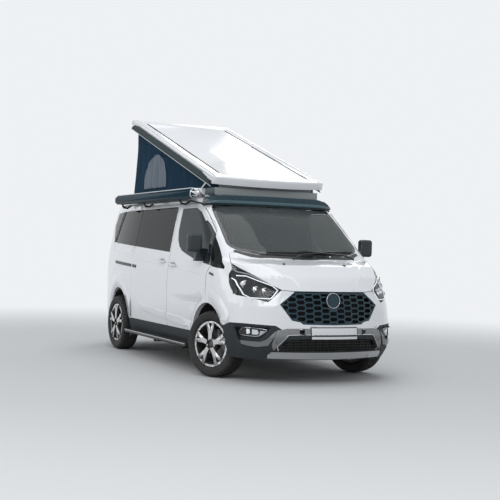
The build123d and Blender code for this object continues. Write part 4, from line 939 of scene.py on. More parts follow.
for face in tyre_blank.data.polygons:
    reach = math.hypot(face.center.x, face.center.z)
    turn = math.floor((math.atan2(face.center.x, face.center.z) + math.pi) / math.tau * TREAD_STEPS + 1e-6)
    across = abs(face.center.y)
    lead = turn + (2 if face.center.y < 0 else 0)
    outer_cut = 0.061 < across < 0.1015 and lead % 4 == 0
    inner_cut = reach > 0.3428 and 0.026 < across < 0.050 and lead % 6 == 3
    face.select = outer_cut or inner_cut
bpy.ops.object.mode_set(mode="EDIT")
bpy.ops.mesh.extrude_region_shrink_fatten(TRANSFORM_OT_shrink_fatten={"value": -0.0055})
bpy.ops.object.mode_set(mode="OBJECT")
smooth(tyre_blank, 28)

CAP_LINE = [(0.0001, 0.0868), (0.012, 0.0866), (0.024, 0.0856), (0.029, 0.0840), (0.0315, 0.0810), (0.0315, 0.0740)]
cap_blank = turned("cap_blank", CAP_LINE, 40)
smooth(cap_blank, 35)
nuts = []
for index in range(5):
    bpy.ops.object.select_all(action="DESELECT")
    angle = math.radians(36 + index * 72)
    bpy.ops.mesh.primitive_cylinder_add(vertices=6, radius=0.0115, depth=0.020, rotation=(math.radians(90), 0, 0),
                                        location=(math.sin(angle) * 0.053, 0.083, math.cos(angle) * 0.053))
    nut = bpy.context.object
    bpy.ops.object.transform_apply()
    applied(nut, "BEVEL", width=0.0025, segments=2)
    nuts.append(nut)
nut_blank = joined(nuts, "nut_blank")
smooth(nut_blank, 30)
CALIPER_X = 0.118


def stand_wheel(blank, name, place_matrix, body, slot_name, material):
    piece = spare_copy(blank, name)
    only(piece)
    piece.matrix_world = place_matrix
    bpy.ops.object.transform_apply()
    return give(piece, body, slot_name, material)


for place in ("front_left", "front_right", "rear_left", "rear_right"):
    spin_joint = next(joint for joint in frame["joints"] if joint["name"] == "spin_" + place)
    out_way = Vector(spin_joint["axis"]).normalized() * (1 if "left" in place else -1)
    centre = Vector(spin_joint["pos_m"])
    stand = Matrix.Translation(centre) @ Matrix.Rotation(math.atan2(out_way.y, out_way.x) - math.pi / 2, 4, "Z")
    wheel_body = "wheel_" + place
    rim = panel("rim_" + place, POCKET, angle=30)
    rim.data.materials.append(MACHINED)
    rim.data.materials.append(DISC_STEEL)
    for face in rim.data.polygons:
        away = face.center - centre
        depth = away.dot(out_way)
        reach = (away - out_way * depth).length
        facing = face.normal.dot(out_way)
        if reach < 0.156 and depth < 0.034 and reach > 0.074:
            face.material_index = 2
        elif facing > 0.75 and depth > 0.060 and reach > 0.068:
            face.material_index = 1
    tyre = stand_wheel(tyre_blank, "tyre_tread_" + place, stand, wheel_body, "tyre_rubber", RUBBER)
    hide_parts("tyre_" + place)
    stand_wheel(cap_blank, "hub_cap_" + place, stand, wheel_body, "wheel_alloy", POCKET)
    stand_wheel(nut_blank, "wheel_nuts_" + place, stand, wheel_body, "wheel_alloy", MACHINED)
for blank in (tyre_blank, cap_blank, nut_blank):
    bpy.data.objects.remove(blank)

# Sleeping roof: white top with dark grooves, and a dark skirt with a bright line down each side; the skirt's dark teal
# is a painted reflection of dark surroundings on the lid's glossy side
LID_STAND = Matrix.Translation((0.905, 0, 2.072)) @ Matrix.Rotation(math.radians(18.2), 4, "Y")
LID_AWAY = LID_STAND.inverted()
lid_skin = skins["lid"]
lid_skin.data.materials.append(MESH_BLACK)
lid_skin.data.materials.append(LINING)
for face in lid_skin.data.polygons:
    place = LID_AWAY @ face.center
    normal = LID_AWAY.to_3x3() @ face.normal
    groove_wall = place.z < 0.0645 or abs(normal.y) > 0.5
    if abs(abs(place.y) - 0.56) < 0.0145 and place.x < -0.15 and place.z > 0.055 and groove_wall:
        face.material_index = 1
    elif normal.z < -0.5 and place.z > 0.02:
        face.material_index = 2
lid_skin.data.update()
smooth(lid_skin, 32)
SKIRT_BAND = [(-2.862, -0.056), (-2.845, -0.022), (-2.760, 0.014), (-2.600, 0.030), (-0.330, 0.030), (-0.160, 0.012),
              (-0.060, -0.026), (-0.025, -0.056)]
skirt = flat_outline("lid_skirt_right", SKIRT_BAND, "right", 0.04)
for vertex in skirt.data.vertices:
    vertex.co.y = -0.7006
applied(skirt, "SOLIDIFY", thickness=0.0032, offset=-1)
skirt.data.transform(LID_STAND)
smooth(skirt, 40)
give(skirt, "lid", "teal_case", LID_SIDE_PAINTED_REFLECTION)
lips = [skirt, other_side(skirt, "lid_skirt_left")]
for side in (-1, 1):
    label = "left" if side > 0 else "right"
    line = [LID_STAND @ Vector((x, side * 0.7030, -0.056)) for x in (-0.022, -0.9, -1.9, -2.866)]
    lips.append(rod("lid_edge_line_" + label, line, 0.0045, "lid", "silver_trim", SILVER, 8))
    line = [LID_STAND @ Vector((x, side * 0.7025, 0.0365)) for x in (-0.30, -0.9, -1.9, -2.62)]
    rod("lid_shadow_line_" + label, line, 0.0022, "lid", "dark_plastic", BLACK, 8)
for piece in lips:
    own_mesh(piece)

# Tent: one continuous wall of cloth between the roof frame and the lid, paler in front, with arched windows
TENT_LOW = 2.016
TENT_FRONT_X, TENT_REAR_X, TENT_HALF = 0.851, -1.880, 0.642
TENT_REAR_LEAN = 0.123
UNDERSIDE = (LID_STAND @ Vector((0, 0, 0.038)), LID_STAND.to_3x3() @ Vector((0, 0, 1)))


def tent_corner(x_sign, y_sign, steps=6, radius=0.07):
    """Points of one rounded corner of the tent's plan."""
    cx = TENT_FRONT_X - radius if x_sign > 0 else TENT_REAR_X + radius
    cy = y_sign * (TENT_HALF - radius)
    start = {(1, -1): -90, (1, 1): 0, (-1, 1): 90, (-1, -1): 180}[(x_sign, y_sign)]
    return [(cx + radius * math.cos(math.radians(start + 90 * step / steps)),
             cy + radius * math.sin(math.radians(start + 90 * step / steps))) for step in range(steps + 1)]


plan = []
for corner in ((1, -1), (1, 1), (-1, 1), (-1, -1)):
    plan.extend(tent_corner(*corner))
ring = []
for here, there in zip(plan, plan[1:] + plan[:1]):
    length = math.dist(here, there)
    pieces = max(1, round(length / 0.028))
    for step in range(pieces):
        share = step / pieces
        ring.append((here[0] + (there[0] - here[0]) * share, here[1] + (there[1] - here[1]) * share))
tent_curve = bpy.data.curves.new("tent", "CURVE")
tent_curve.dimensions = "3D"
tent_line = tent_curve.splines.new("POLY")
tent_line.points.add(len(ring) - 1)
for index, (x, y) in enumerate(ring):
    tent_line.points[index].co = (x, y, TENT_LOW, 1)
tent_line.use_cyclic_u = True
tent = bpy.data.objects.new("tent_wall", tent_curve)
bpy.context.scene.collection.objects.link(tent)
only(tent)
bpy.ops.object.convert(target="MESH")
tent = bpy.context.object
tent.name = "tent_wall"
TENT_ROWS = 36
TENT_H = 0.99
bpy.ops.object.mode_set(mode="EDIT")
bpy.ops.mesh.select_mode(type="EDGE")
bpy.ops.mesh.select_all(action="SELECT")
for row in range(TENT_ROWS):
    bpy.ops.mesh.extrude_region_move(TRANSFORM_OT_translate={"value": (0, 0, TENT_H / TENT_ROWS)})
bpy.ops.object.mode_set(mode="OBJECT")
for vertex in tent.data.vertices:
    back = min(1.0, max(0.0, (-0.6 - vertex.co.x) / 1.28))
    vertex.co.x += TENT_REAR_LEAN * (vertex.co.z - TENT_LOW) / TENT_H * back ** 2
only(tent)
bpy.ops.object.mode_set(mode="EDIT")
bpy.ops.mesh.select_all(action="SELECT")
bpy.ops.mesh.bisect(plane_co=UNDERSIDE[0], plane_no=UNDERSIDE[1], clear_outer=True)
bpy.ops.mesh.select_all(action="SELECT")
bpy.ops.mesh.normals_make_consistent()
bpy.ops.object.mode_set(mode="OBJECT")


def tent_ceiling(x):
    return UNDERSIDE[0].z - (x - UNDERSIDE[0].x) * math.tan(math.radians(18.2))


# The cloth sags in between its edges and pulls into soft diagonal folds
for vertex in tent.data.vertices:
    place = vertex.co
    high = tent_ceiling(place.x) - TENT_LOW
    up_share = min(1.0, max(0.0, (place.z - TENT_LOW) / max(0.05, high)))
    belly = math.sin(math.pi * up_share) * min(1.0, high / 0.35)
    if abs(place.y) > TENT_HALF - 0.02:
        fold = (math.sin(place.x * 9.0 + place.z * 6.0) * 0.45 + math.sin(place.x * 17.0 - place.z * 11.0 + 1.0) * 0.30
                + math.sin(place.x * 31.0 + place.z * 3.0 + 2.0) * 0.18)
        place.y -= math.copysign(belly * (0.013 - 0.011 * fold), place.y)
    elif place.x < -1.5:
        place.x += belly * (0.012 - 0.010 * math.sin(place.y * 14.0 + place.z * 5.0) - 0.004 * math.sin(place.y * 29.0))
applied(tent, "SOLIDIFY", thickness=0.0016, offset=-1)
smooth(tent, 70)
tent.data.materials.append(CLOTH)
tent.data.materials.append(PALE_CLOTH)
for face in tent.data.polygons:
    if face.center.x > TENT_FRONT_X - 0.012 and abs(face.center.y) < TENT_HALF - 0.05:
        face.material_index = 1
give(tent, body_of_node["canvas"], "canvas_cloth")
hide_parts("canvas")


def on_tent(name, outline, thick, rise, step, material, bevel=0.0, quads=None):
    """A cloth patch laid on the right wall of the tent, and its twin on the left."""
    made = laid(name + "_right", quads or [outline], "right", body_of_node["canvas"], "canvas_cloth", material, thick, rise,
                step, bevel, target=tent_guide)
    twin = other_side(made, name + "_left")
    for piece in (made, twin):
        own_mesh(piece)
    return made, twin


tent_guide = spare_copy(tent, "tent_guide")
WINDOW = [(-1.440, 2.085), (-1.425, 2.215), (-1.370, 2.330), (-1.285, 2.425), (-1.170, 2.488), (-1.040, 2.512),
          (-0.910, 2.500), (-0.800, 2.455), (-0.715, 2.380), (-0.660, 2.280), (-0.640, 2.180), (-0.655, 2.085)]
windows = on_tent("tent_window", WINDOW, 0.0012, 0.0030, 0.012, WINDOW_CLOTH)
for piece in windows:
    for vertex in piece.data.vertices:
        wave = math.sin(vertex.co.x * 62.0) * 0.6 + math.sin(vertex.co.x * 37.0 + vertex.co.z * 4.0) * 0.4
        vertex.co.y -= math.copysign(0.0022 * (1 + wave), -vertex.co.y)
hem = on_tent("tent_window_hem", None, 0.0020, 0.0035, 0.02, CLOTH, quads=ribbon(WINDOW, 0.022, closed=True))
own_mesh(tent)
bpy.data.objects.remove(tent_guide)

# Pale cloth in front of the roof frame, above the fairing
frame_skin = skins["roof_frame"]
frame_skin.data.materials.append(PALE_CLOTH)
only(frame_skin)
bpy.ops.object.mode_set(mode="EDIT")
bpy.ops.mesh.select_all(action="SELECT")
bpy.ops.mesh.bisect(plane_co=(0, 0, 1.934), plane_no=(0, 0, 1))
bpy.ops.object.mode_set(mode="OBJECT")
for face in frame_skin.data.polygons:
    if face.center.z > 1.934 and face.center.x > 0.86 and face.normal.x > 0.5:
        face.material_index = 1

# Awning: bright end cap and dark brackets
awning_skin = skins["awning_case"]
awning_skin.data.materials.append(SILVER)
awning_skin.data.materials.append(BLACK)
for face in awning_skin.data.polygons:
    if face.center.x > 1.06 or (face.center.x > 0.90 and abs(face.normal.x) > 0.9):
        face.material_index = 1
    elif face.center.y > -0.878:
        face.material_index = 2
AWNING_TOP_Y, AWNING_TOP_Z = -0.968, 1.985
(awning_x0, awning_y0, awning_z0), (awning_x1, awning_y1, awning_z1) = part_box("awning_case")
# A white bar along the awning's top edge is a painted highlight
rod("awning_top_line", [(x, AWNING_TOP_Y, AWNING_TOP_Z) for x in (awning_x0 + 0.004, -0.6, 0.2, 0.992)], 0.0055, "van", "silver_trim",
    PLATE_WHITE, 8)
for index, x in enumerate((-1.43, -0.62, 0.55)):
    rod(f"awning_claw_{index}", [(x, -0.935, awning_z0 + 0.004), (x, -0.915, awning_z0 - 0.040), (x + 0.004, -0.862, awning_z0 - 0.046),
                                 (x + 0.004, -0.815, awning_z0 - 0.012)], 0.014, "van", "dark_plastic", BLACK, 8)


# Glass trims on the side: a dark bridge between door glass and quarter light, and the tail of the dark band
OPENING = [(1.120, 1.640), (1.196, 1.597), (1.352, 1.484), (1.455, 1.330), (1.548, 1.152), (1.150, 1.205)]
PAINTED_NODES = ("door_right", "door_left", "body_side_right", "body_side_left")


def framed_paint():
    """White paint that turns to black glass trim inside the outline of the cab's side window."""
    made = PAINT.copy()
    made.name = "white_paint_with_window_trim"
    tree = made.node_tree
    shader = tree.nodes["Principled BSDF"]
    place = node_of(tree, "ShaderNodeSeparateXYZ")
    tree.links.new(node_of(tree, "ShaderNodeTexCoord").outputs["Object"], place.inputs[0])
    share = None
    for (x0, z0), (x1, z1) in zip(OPENING, OPENING[1:] + OPENING[:1]):
        length = math.hypot(x1 - x0, z1 - z0)
        inward_x, inward_z = (z1 - z0) / length, (x0 - x1) / length
        across = node_of(tree, "ShaderNodeMath", operation="MULTIPLY_ADD")
        tree.links.new(place.outputs["X"], across.inputs[0])
        across.inputs[1].default_value = inward_x
        across.inputs[2].default_value = -(x0 * inward_x + z0 * inward_z)
        along = node_of(tree, "ShaderNodeMath", operation="MULTIPLY_ADD")
        tree.links.new(place.outputs["Z"], along.inputs[0])
        along.inputs[1].default_value = inward_z
        tree.links.new(across.outputs[0], along.inputs[2])
        inside = ranged(tree, along.outputs[0], -0.001, 0.001, 0.0, 1.0)
        if share is None:
            share = inside
        else:
            both_in = node_of(tree, "ShaderNodeMath", operation="MULTIPLY")
            tree.links.new(share, both_in.inputs[0])
            tree.links.new(inside, both_in.inputs[1])
            share = both_in.outputs[0]
    for socket, dark in (("Base Color", (0.010, 0.014, 0.016, 1)), ("Roughness", (0.08, 0.08, 0.08, 1))):
        given = shader.inputs[socket].links[0].from_socket
        tree.links.new(blended(tree, share, given, dark), shader.inputs[socket])
    return made


FRAMED = framed_paint()
for node in PAINTED_NODES:
    for index, used in enumerate(skins[node].data.materials):
        if used is PAINT or used.name == PAINT.name:
            skins[node].data.materials[index] = FRAMED
TAIL = [(-1.690, 1.786), (-2.095, 1.770), (-2.160, 1.600), (-2.000, 1.381), (-1.915, 1.388)]
tail_glass = laid("side_glass_tail_right", [TAIL], "right", "van", "dark_glass", PRIVACY, 0.003, 0.0030, 0.012, 0.0)
other_side(tail_glass, "side_glass_tail_left")
foot = laid("mirror_foot_right", [[(1.135, 1.250), (1.296, 1.222), (1.300, 1.182), (1.165, 1.196)]], "right", "door_right", "white_paint",
            PAINT, 0.014, 0.0, 0.02, 0.005, sides=3)
other_side(foot, "mirror_foot_left", "door_left")

# Bright edge of the steps
for side, label in ((-1, "right"), (1, "left")):
    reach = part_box("side_steps")[1][1] * side
    rod("step_edge_" + label, [(-0.905, reach, 0.296), (0.0, reach, 0.296), (1.055, reach, 0.296)], 0.0055, "van", "silver_trim",
        SILVER, 8)

# Bright rails along the top of the sleeping roof
for side in (-1, 1):
    label = "left" if side > 0 else "right"
    # Each rail is a silver bar that stands for the painted highlight along a raised white edge of the lid
    rail = [LID_STAND @ Vector((x, side * 0.655, 0.0650)) for x in (-0.03, -0.9, -1.9, -2.85)]
    rod("lid_rail_" + label, rail, 0.0050, "lid", "silver_trim", SILVER, 8)

# Fairing: a visor face with a bulged lower band whose paler teal is a painted highlight, and a black bar over the
# windscreen that is a painted shadow under the visor
FAIRING_END, FAIRING_MIDDLE, FAIRING_HALF = 0.947, 1.032, 0.790
VISOR_ROWS = [(1.826, 0.002), (1.830, 0.012), (1.846, 0.019), (1.862, 0.015), (1.872, 0.006), (1.878, 0.004), (1.922, 0.004),
              (1.929, 0.000), (1.934, -0.010)]
bow = (FAIRING_MIDDLE - FAIRING_END)
arc_radius = (bow ** 2 + 0.8 ** 2) / (2 * bow)


def visor_x(y):
    return FAIRING_MIDDLE - arc_radius + math.sqrt(arc_radius ** 2 - y ** 2)


def drooped(y, z):
    """The fairing's top falls towards its ends."""
    fall = max(0.0, (abs(y) - 0.56) / 0.23)
    return z - (z - 1.826) * 0.75 * min(1.0, fall) ** 2.2


visor_line = [(visor_x(y), y, 1.826) for y in [FAIRING_HALF * (index / 40 * 2 - 1) for index in range(41)]]
visor_curve = bpy.data.curves.new("fairing_visor", "CURVE")
visor_curve.dimensions = "3D"
visor_spline = visor_curve.splines.new("POLY")
visor_spline.points.add(len(visor_line) - 1)
for index, point in enumerate(visor_line):
    visor_spline.points[index].co = (*point, 1)
visor = bpy.data.objects.new("fairing_visor", visor_curve)
bpy.context.scene.collection.objects.link(visor)
only(visor)
bpy.ops.object.convert(target="MESH")
visor = bpy.context.object
visor.name = "fairing_visor"
bpy.ops.object.mode_set(mode="EDIT")
bpy.ops.mesh.select_mode(type="EDGE")
bpy.ops.mesh.select_all(action="SELECT")
for before, after in zip(VISOR_ROWS, VISOR_ROWS[1:]):
    bpy.ops.mesh.extrude_region_move(TRANSFORM_OT_translate={"value": (0, 0, after[0] - before[0])})
bpy.ops.object.mode_set(mode="OBJECT")
for vertex in visor.data.vertices:
    row = min(range(len(VISOR_ROWS)), key=lambda index: abs(VISOR_ROWS[index][0] - vertex.co.z))
    lift = VISOR_ROWS[row][1]
    skin = ray_to(guide, (3.2, vertex.co.y, vertex.co.z), (-1, 0, 0))
    front_x = visor_x(vertex.co.y) + lift
    if skin is not None and vertex.co.z < 1.88:
        front_x = max(front_x, skin.x + 0.006 + lift * 0.5)
    vertex.co.x = front_x
    vertex.co.z = drooped(vertex.co.y, vertex.co.z)
only(visor)
bpy.ops.object.mode_set(mode="EDIT")
bpy.ops.mesh.select_all(action="SELECT")
bpy.ops.mesh.normals_make_consistent()
bpy.ops.object.mode_set(mode="OBJECT")
if sum(face.normal.x * face.area for face in visor.data.polygons) < 0:
    bpy.ops.object.mode_set(mode="EDIT")
    bpy.ops.mesh.flip_normals()
    bpy.ops.object.mode_set(mode="OBJECT")
applied(visor, "SOLIDIFY", thickness=0.004, offset=-1)
visor.data.materials.append(TEAL)
visor.data.materials.append(TEAL_PAINTED_HIGHLIGHT)
# The lower band takes the paler teal as a painted highlight
for face in visor.data.polygons:
    face.material_index = 1 if face.center.z < 1.868 else 0
smooth(visor, 50)
give(visor, "van", "teal_case")
# A black bar in front of the top of the windscreen is a painted shadow under the visor
seal = [(x + 0.002, y * 0.98, 1.822) for x, y, z in visor_line[::4]]
rod("fairing_seal", [(max(x, (ray_to(guide, (3.2, y, z), (-1, 0, 0)) or Vector((0, 0, 0))).x + 0.004), y, z) for x, y, z in seal], 0.007, "van",
    "dark_plastic", BLACK, 8)

# Roof gutters, black bars that on the right also stand for the painted shadow under the awning, and the seal of the
# front doors along the screen pillars
GUTTER_AND_SHADOW = [(-2.060, 0.722, 1.868), (-1.958, 0.730, 1.870), (-0.778, 0.792, 1.8745), (0.026, 0.792, 1.878), (0.414, 0.797, 1.872),
          (0.662, 0.803, 1.857), (0.860, 0.797, 1.830), (0.945, 0.785, 1.799)]
PILLAR = [(0.960, 0.794, 1.7806), (1.045, 0.792, 1.7241), (1.161, 0.799, 1.6406), (1.263, 0.8064, 1.5641), (1.344, 0.8137, 1.4995)]
for side in (-1, 1):
    label = "left" if side > 0 else "right"
    for name, points, radius in (("roof_gutter", GUTTER_AND_SHADOW, 0.0105), ("door_pillar_seal", PILLAR, 0.0034)):
        seated = []
        for (x0, y0, z0), (x1, y1, z1) in zip(points, points[1:]):
            for step in range(6):
                share = step / 6
                y, z = y0 + (y1 - y0) * share, z0 + (z1 - z0) * share
                outer = ray_to(guide, (x0 + (x1 - x0) * share, -1.6, z), (0, 1, 0))
                seated.append((x0 + (x1 - x0) * share, side * (-outer.y if outer is not None and outer.y < -0.7 else y), z))
        rod(f"{name}_{label}", seated, radius, "van", "dark_plastic", BLACK, 8)

# Fog lamp rims: a bright bar along the outline of the lamp, its corners rounded
def rounded(points, cuts=2):
    """A closed outline with its corners cut off, once for each cut."""
    for cut in range(cuts):
        points = [tuple(a + (b - a) * share for a, b in zip(here, there))
                  for here, there in zip(points, points[1:] + points[:1]) for share in (0.25, 0.75)]
    return points


FOG_OFF = 0.019
for side, label in ((-1, "right"), (1, "left")):
    rim_line = []
    corners = rounded(FOG)
    for (y0, z0), (y1, z1) in zip(corners, corners[1:] + corners[:1]):
        pieces = max(1, round(math.hypot(y1 - y0, z1 - z0) / 0.006))
        for step in range(pieces):
            y, z = y0 + (y1 - y0) * step / pieces, z0 + (z1 - z0) * step / pieces
            rim_line.append((ray_to(guide, (3.2, -y, z), (-1, 0, 0)).x + FOG_OFF, side * y, z))
    rod("fog_lamp_rim_" + label, rim_line + rim_line[:1], 0.0055, "van", "lamp_lens", LAMP_GREY, 8)

# Belt crease of the doors and sides, and the dark seam in front of the cab doors
CREASE = [((-2.08, 1.233), (-0.905, 1.178), "van"), ((-0.835, 1.175), (0.270, 1.126), "van"), ((0.350, 1.122), (1.360, 1.054), "door")]
SEAM_POINTS = [(1.4365, 0.800), (1.4365, 0.949), (1.4255, 1.047), (1.4610, 1.109), (1.5060, 1.146)]
for side in (-1, 1):
    label = "left" if side > 0 else "right"
    for index, (start, end, kind) in enumerate(CREASE):
        seated = []
        for step in range(13):
            x, z = (a + (b - a) * step / 12 for a, b in zip(start, end))
            seated.append((x, side * -ray_to(guide, (x, -1.6, z), (0, 1, 0)).y - side * 0.0085, z))
        rod(f"belt_crease_{index}_{label}", seated, 0.0105, "van" if kind == "van" else "door_" + label, "white_paint", PAINT, 12,
            [0.84] + [1.0] * 11 + [0.84])
    seated = [(x, side * (-ray_to(guide, (x + 0.016, -1.6, z), (0, 1, 0)).y - 0.0012), z) for x, z in SEAM_POINTS]
    rod("door_seam_" + label, seated, 0.0024, "van", "dark_plastic", BLACK, 8)

# Rear: handle, high stop lamp and reflectors
for label, outline, stand, body, finish_used, lift, thick in (
        ("tailgate_handle", [(-0.16, 1.075), (0.16, 1.075), (0.16, 1.115), (-0.16, 1.115)], "rear", "tailgate", CUP_GREY, 0.014, 0.014),
        ("high_stop_lamp", [(-0.17, 1.822), (0.17, 1.822), (0.17, 1.842), (-0.17, 1.842)], "rear", "tailgate", RED, 0.008, 0.008)):
    laid(label, [outline], stand, body, "dark_plastic" if finish_used is CUP_GREY else "tail_lens", finish_used, thick, lift, 0.04, 0.003)
for side in (-1, 1):
    label = "left" if side > 0 else "right"
    reflector = [(side * 0.52, 0.455), (side * 0.66, 0.455), (side * 0.66, 0.485), (side * 0.52, 0.485)]
    laid("rear_reflector_" + label, [[(-y, z) for y, z in reflector]], "rear", "van", "tail_lens", RED, 0.006, 0.004, 0.04, 0.002)


# Seats: each pad is swelled by a cloth run, then its seams are drawn in
CAP = 0.022
FOAM_VOXEL = 0.012
SEAM_DEEP, SEAM_WIDE = 0.009, 0.012


def swelled(piece):
    """Pressure from inside, gravity off, no point moved further than the cap."""
    only(piece)
    piece.data.remesh_voxel_size = FOAM_VOXEL
    bpy.ops.object.voxel_remesh()
    before = [vertex.co.copy() for vertex in piece.data.vertices]
    cloth = piece.modifiers.new("swell", "CLOTH")
    cloth.settings.use_pressure = True
    cloth.settings.uniform_pressure_force = 4
    cloth.settings.effector_weights.gravity = 0
    cloth.settings.quality = 4
    for number in range(1, 21):
        bpy.context.scene.frame_set(number)
    bpy.ops.object.modifier_apply(modifier=cloth.name)
    bpy.context.scene.frame_set(1)
    for vertex, start in zip(piece.data.vertices, before):
        moved = vertex.co - start
        if moved.length > CAP:
            vertex.co = start + moved * (CAP / moved.length)
    applied(piece, "SUBSURF", levels=1, render_levels=1)


def foam(name, section, y0, y1, round_by):
    """A closed block over an outline of (x, z) points, its corners rounded."""
    bpy.ops.object.select_all(action="DESELECT")
    piece = flat_outline(name, [(x, z) for x, z in section], "right", 0.05)
    for vertex in piece.data.vertices:
        vertex.co.y = y0
    only(piece)
    bpy.ops.object.mode_set(mode="EDIT")
    bpy.ops.mesh.select_all(action="SELECT")
    bpy.ops.mesh.extrude_region_move(TRANSFORM_OT_translate={"value": (0, y1 - y0, 0)})
    bpy.ops.mesh.select_all(action="SELECT")
    bpy.ops.mesh.normals_make_consistent()
    bpy.ops.object.mode_set(mode="OBJECT")
    applied(piece, "BEVEL", width=round_by, segments=3, limit_method="ANGLE", angle_limit=math.radians(50))
    return piece


def drawn_in(piece, seams, inward):
    """Sewn channels: points near a seam, a (axis, place, low z, high z) row, move against the outward way."""
    for vertex in piece.data.vertices:
        for axis, place, low, high in seams:
            off = abs(vertex.co[axis] - place)
            if off < SEAM_WIDE * 2 and low < vertex.co.z < high:
                vertex.co += inward * SEAM_DEEP * math.exp(-(off / SEAM_WIDE) ** 2 * 2)


SEAT_Y, SEAT_HALF = 0.400, 0.225
CUSHION = [(0.168, 0.676), (0.168, 0.785), (0.262, 0.826), (0.560, 0.852), (0.626, 0.834), (0.632, 0.785), (0.604, 0.702),
           (0.555, 0.676)]
BACK_LOW = [(0.150, 0.730), (0.246, 0.772), (0.243, 0.860), (0.203, 1.100), (0.134, 1.404), (0.106, 1.434), (0.066, 1.420),
            (0.060, 1.380), (0.090, 1.082), (0.128, 0.815)]
HEAD = [(0.072, 1.490), (0.112, 1.496), (0.134, 1.558), (0.118, 1.624), (0.070, 1.632), (0.046, 1.598)]


def seat_pad(name, section, half, round_by, seams, inward, y):
    pad = foam(name, section, -half, half, round_by)
    swelled(pad)
    drawn_in(pad, seams, inward)
    smooth(pad, 60)
    return pad


UPWARD = Vector((0.1, 0, -1)).normalized()
REARWARD = Vector((-1, 0, -0.2)).normalized()
for name, section, half, round_by, seams, inward, fill in (
        ("seat_cushion", CUSHION, SEAT_HALF, 0.035, [(1, -0.135, 0.80, 0.9), (1, 0.135, 0.80, 0.9), (0, 0.330, 0.80, 0.9)],
         UPWARD, 0.7),
        ("seat_back", BACK_LOW, SEAT_HALF - 0.01, 0.030,
         [(1, -0.130, 0.86, 1.40), (1, 0.130, 0.86, 1.40), (2, 1.150, 0.86, 1.40)], REARWARD, 0.7),
        ("headrest", HEAD, 0.112, 0.022, [], REARWARD, 0.8)):
    pad = seat_pad(name + "_right", section, half, round_by, seams, inward, SEAT_Y)
    twin = spare_copy(pad, name + "_left")
    for piece, side in ((pad, -1), (twin, 1)):
        only(piece)
        bpy.ops.transform.translate(value=(0, side * SEAT_Y, 0))
        bpy.ops.object.transform_apply()
        give(piece, "van", "seat_fabric", FABRIC)
        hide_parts("front_seats")


def box_piece(name, low, high, body, slot_name, material, round_by=0.004):
    """A block between two corners, its edges rounded."""
    bpy.ops.object.select_all(action="DESELECT")
    centre = [(a + b) / 2 for a, b in zip(low, high)]
    bpy.ops.mesh.primitive_cube_add(size=1, location=centre, scale=[b - a for a, b in zip(low, high)])
    piece = bpy.context.object
    piece.name = name
    bpy.ops.object.transform_apply()
    applied(piece, "BEVEL", width=round_by, segments=2, limit_method="ANGLE", angle_limit=math.radians(50))
    smooth(piece, 40)
    return give(piece, body, slot_name, material)


FLOOR_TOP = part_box("kitchen_unit")[0][2]
for side, label in ((-1, "right"), (1, "left")):
    y = side * SEAT_Y
    box_piece("seat_base_" + label, (0.205, y - 0.195, FLOOR_TOP), (0.595, y + 0.195, 0.655), "van", "dark_plastic", BLACK, 0.012)
    for index, offset in enumerate((-0.055, 0.055)):
        rod(f"headrest_post_{label}_{index}", [(0.088, y + offset, 1.40), (0.090, y + offset, 1.51)], 0.006, "van", "silver_trim",
            SILVER, 8)

BENCH_CUSHION = [(-1.352, 0.720), (-1.352, 0.842), (-0.836, 0.880), (-0.818, 0.862), (-0.818, 0.752), (-0.840, 0.720)]
BENCH_BACK = [(-1.378, 0.890), (-1.446, 1.390), (-1.478, 1.490), (-1.522, 1.490), (-1.528, 1.455), (-1.466, 0.890)]
for name, section, seams, inward in (
        ("bench_cushion", BENCH_CUSHION, [(1, -0.175, 0.80, 0.95), (1, 0.175, 0.80, 0.95), (0, -1.10, 0.80, 0.95)], UPWARD),
        ("bench_back", BENCH_BACK, [(1, -0.175, 0.90, 1.46), (1, 0.175, 0.90, 1.46), (2, 1.16, 0.90, 1.46)], REARWARD)):
    pad = foam(name, section, -0.508, 0.508, 0.030)
    swelled(pad)
    drawn_in(pad, seams, inward)
    smooth(pad, 60)
    give(pad, "van", "seat_fabric", FABRIC)
    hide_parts("rear_bench")
box_piece("bench_base", (-1.358, -0.498, FLOOR_TOP), (-0.852, 0.498, 0.700), "van", "cabinet_wood", WOOD, 0.006)

# Kitchen: worktop, doors, drawers with handles and two rings; dashboard: hood and screen
(kx0, ky0, kz0), (kx1, ky1, kz1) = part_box("kitchen_unit")
box_piece("worktop", (kx0 - 0.006, ky0 - 0.012, kz1 + 0.0005), (kx1 + 0.006, ky1 - 0.02, kz1 + 0.022), "van", "dark_plastic", LAMP_GREY, 0.004)
door_wide = (kx1 - kx0) / 2
for index in range(2):
    x = kx0 + index * door_wide
    box_piece(f"cupboard_door_{index}", (x + 0.008, ky0 - 0.016, kz0 + 0.05), (x + door_wide - 0.008, ky0 - 0.0005, kz1 - 0.16), "van",
              "cabinet_wood", WOOD, 0.004)
    box_piece(f"drawer_{index}", (x + 0.008, ky0 - 0.016, kz1 - 0.150), (x + door_wide - 0.008, ky0 - 0.0005, kz1 - 0.012), "van",
              "cabinet_wood", WOOD, 0.004)
    rod(f"drawer_handle_{index}", [(x + 0.10, ky0 - 0.026, kz1 - 0.08), (x + door_wide - 0.10, ky0 - 0.026, kz1 - 0.08)], 0.005, "van",
        "silver_trim", SILVER, 8)
for index, x in enumerate((kx0 + 0.16, kx0 + 0.38)):
    disc(f"hob_ring_{index}", (x, (ky0 + ky1) / 2, kz1 + 0.022), 0.075, 0.012, (0, 0, 1), "van", "dark_plastic", BLACK)
box_piece("dash_screen", (0.915, -0.13, 1.085), (0.960, 0.13, 1.245), "van", "dark_plastic", FRIT, 0.006)
box_piece("instrument_hood", (0.905, 0.26, 1.115), (1.060, 0.54, 1.220), "van", "dark_plastic", BLACK, 0.02)


# The guides have done their work
for spare in (guide, lamp_target, screen_target):
    bpy.data.objects.remove(spare)

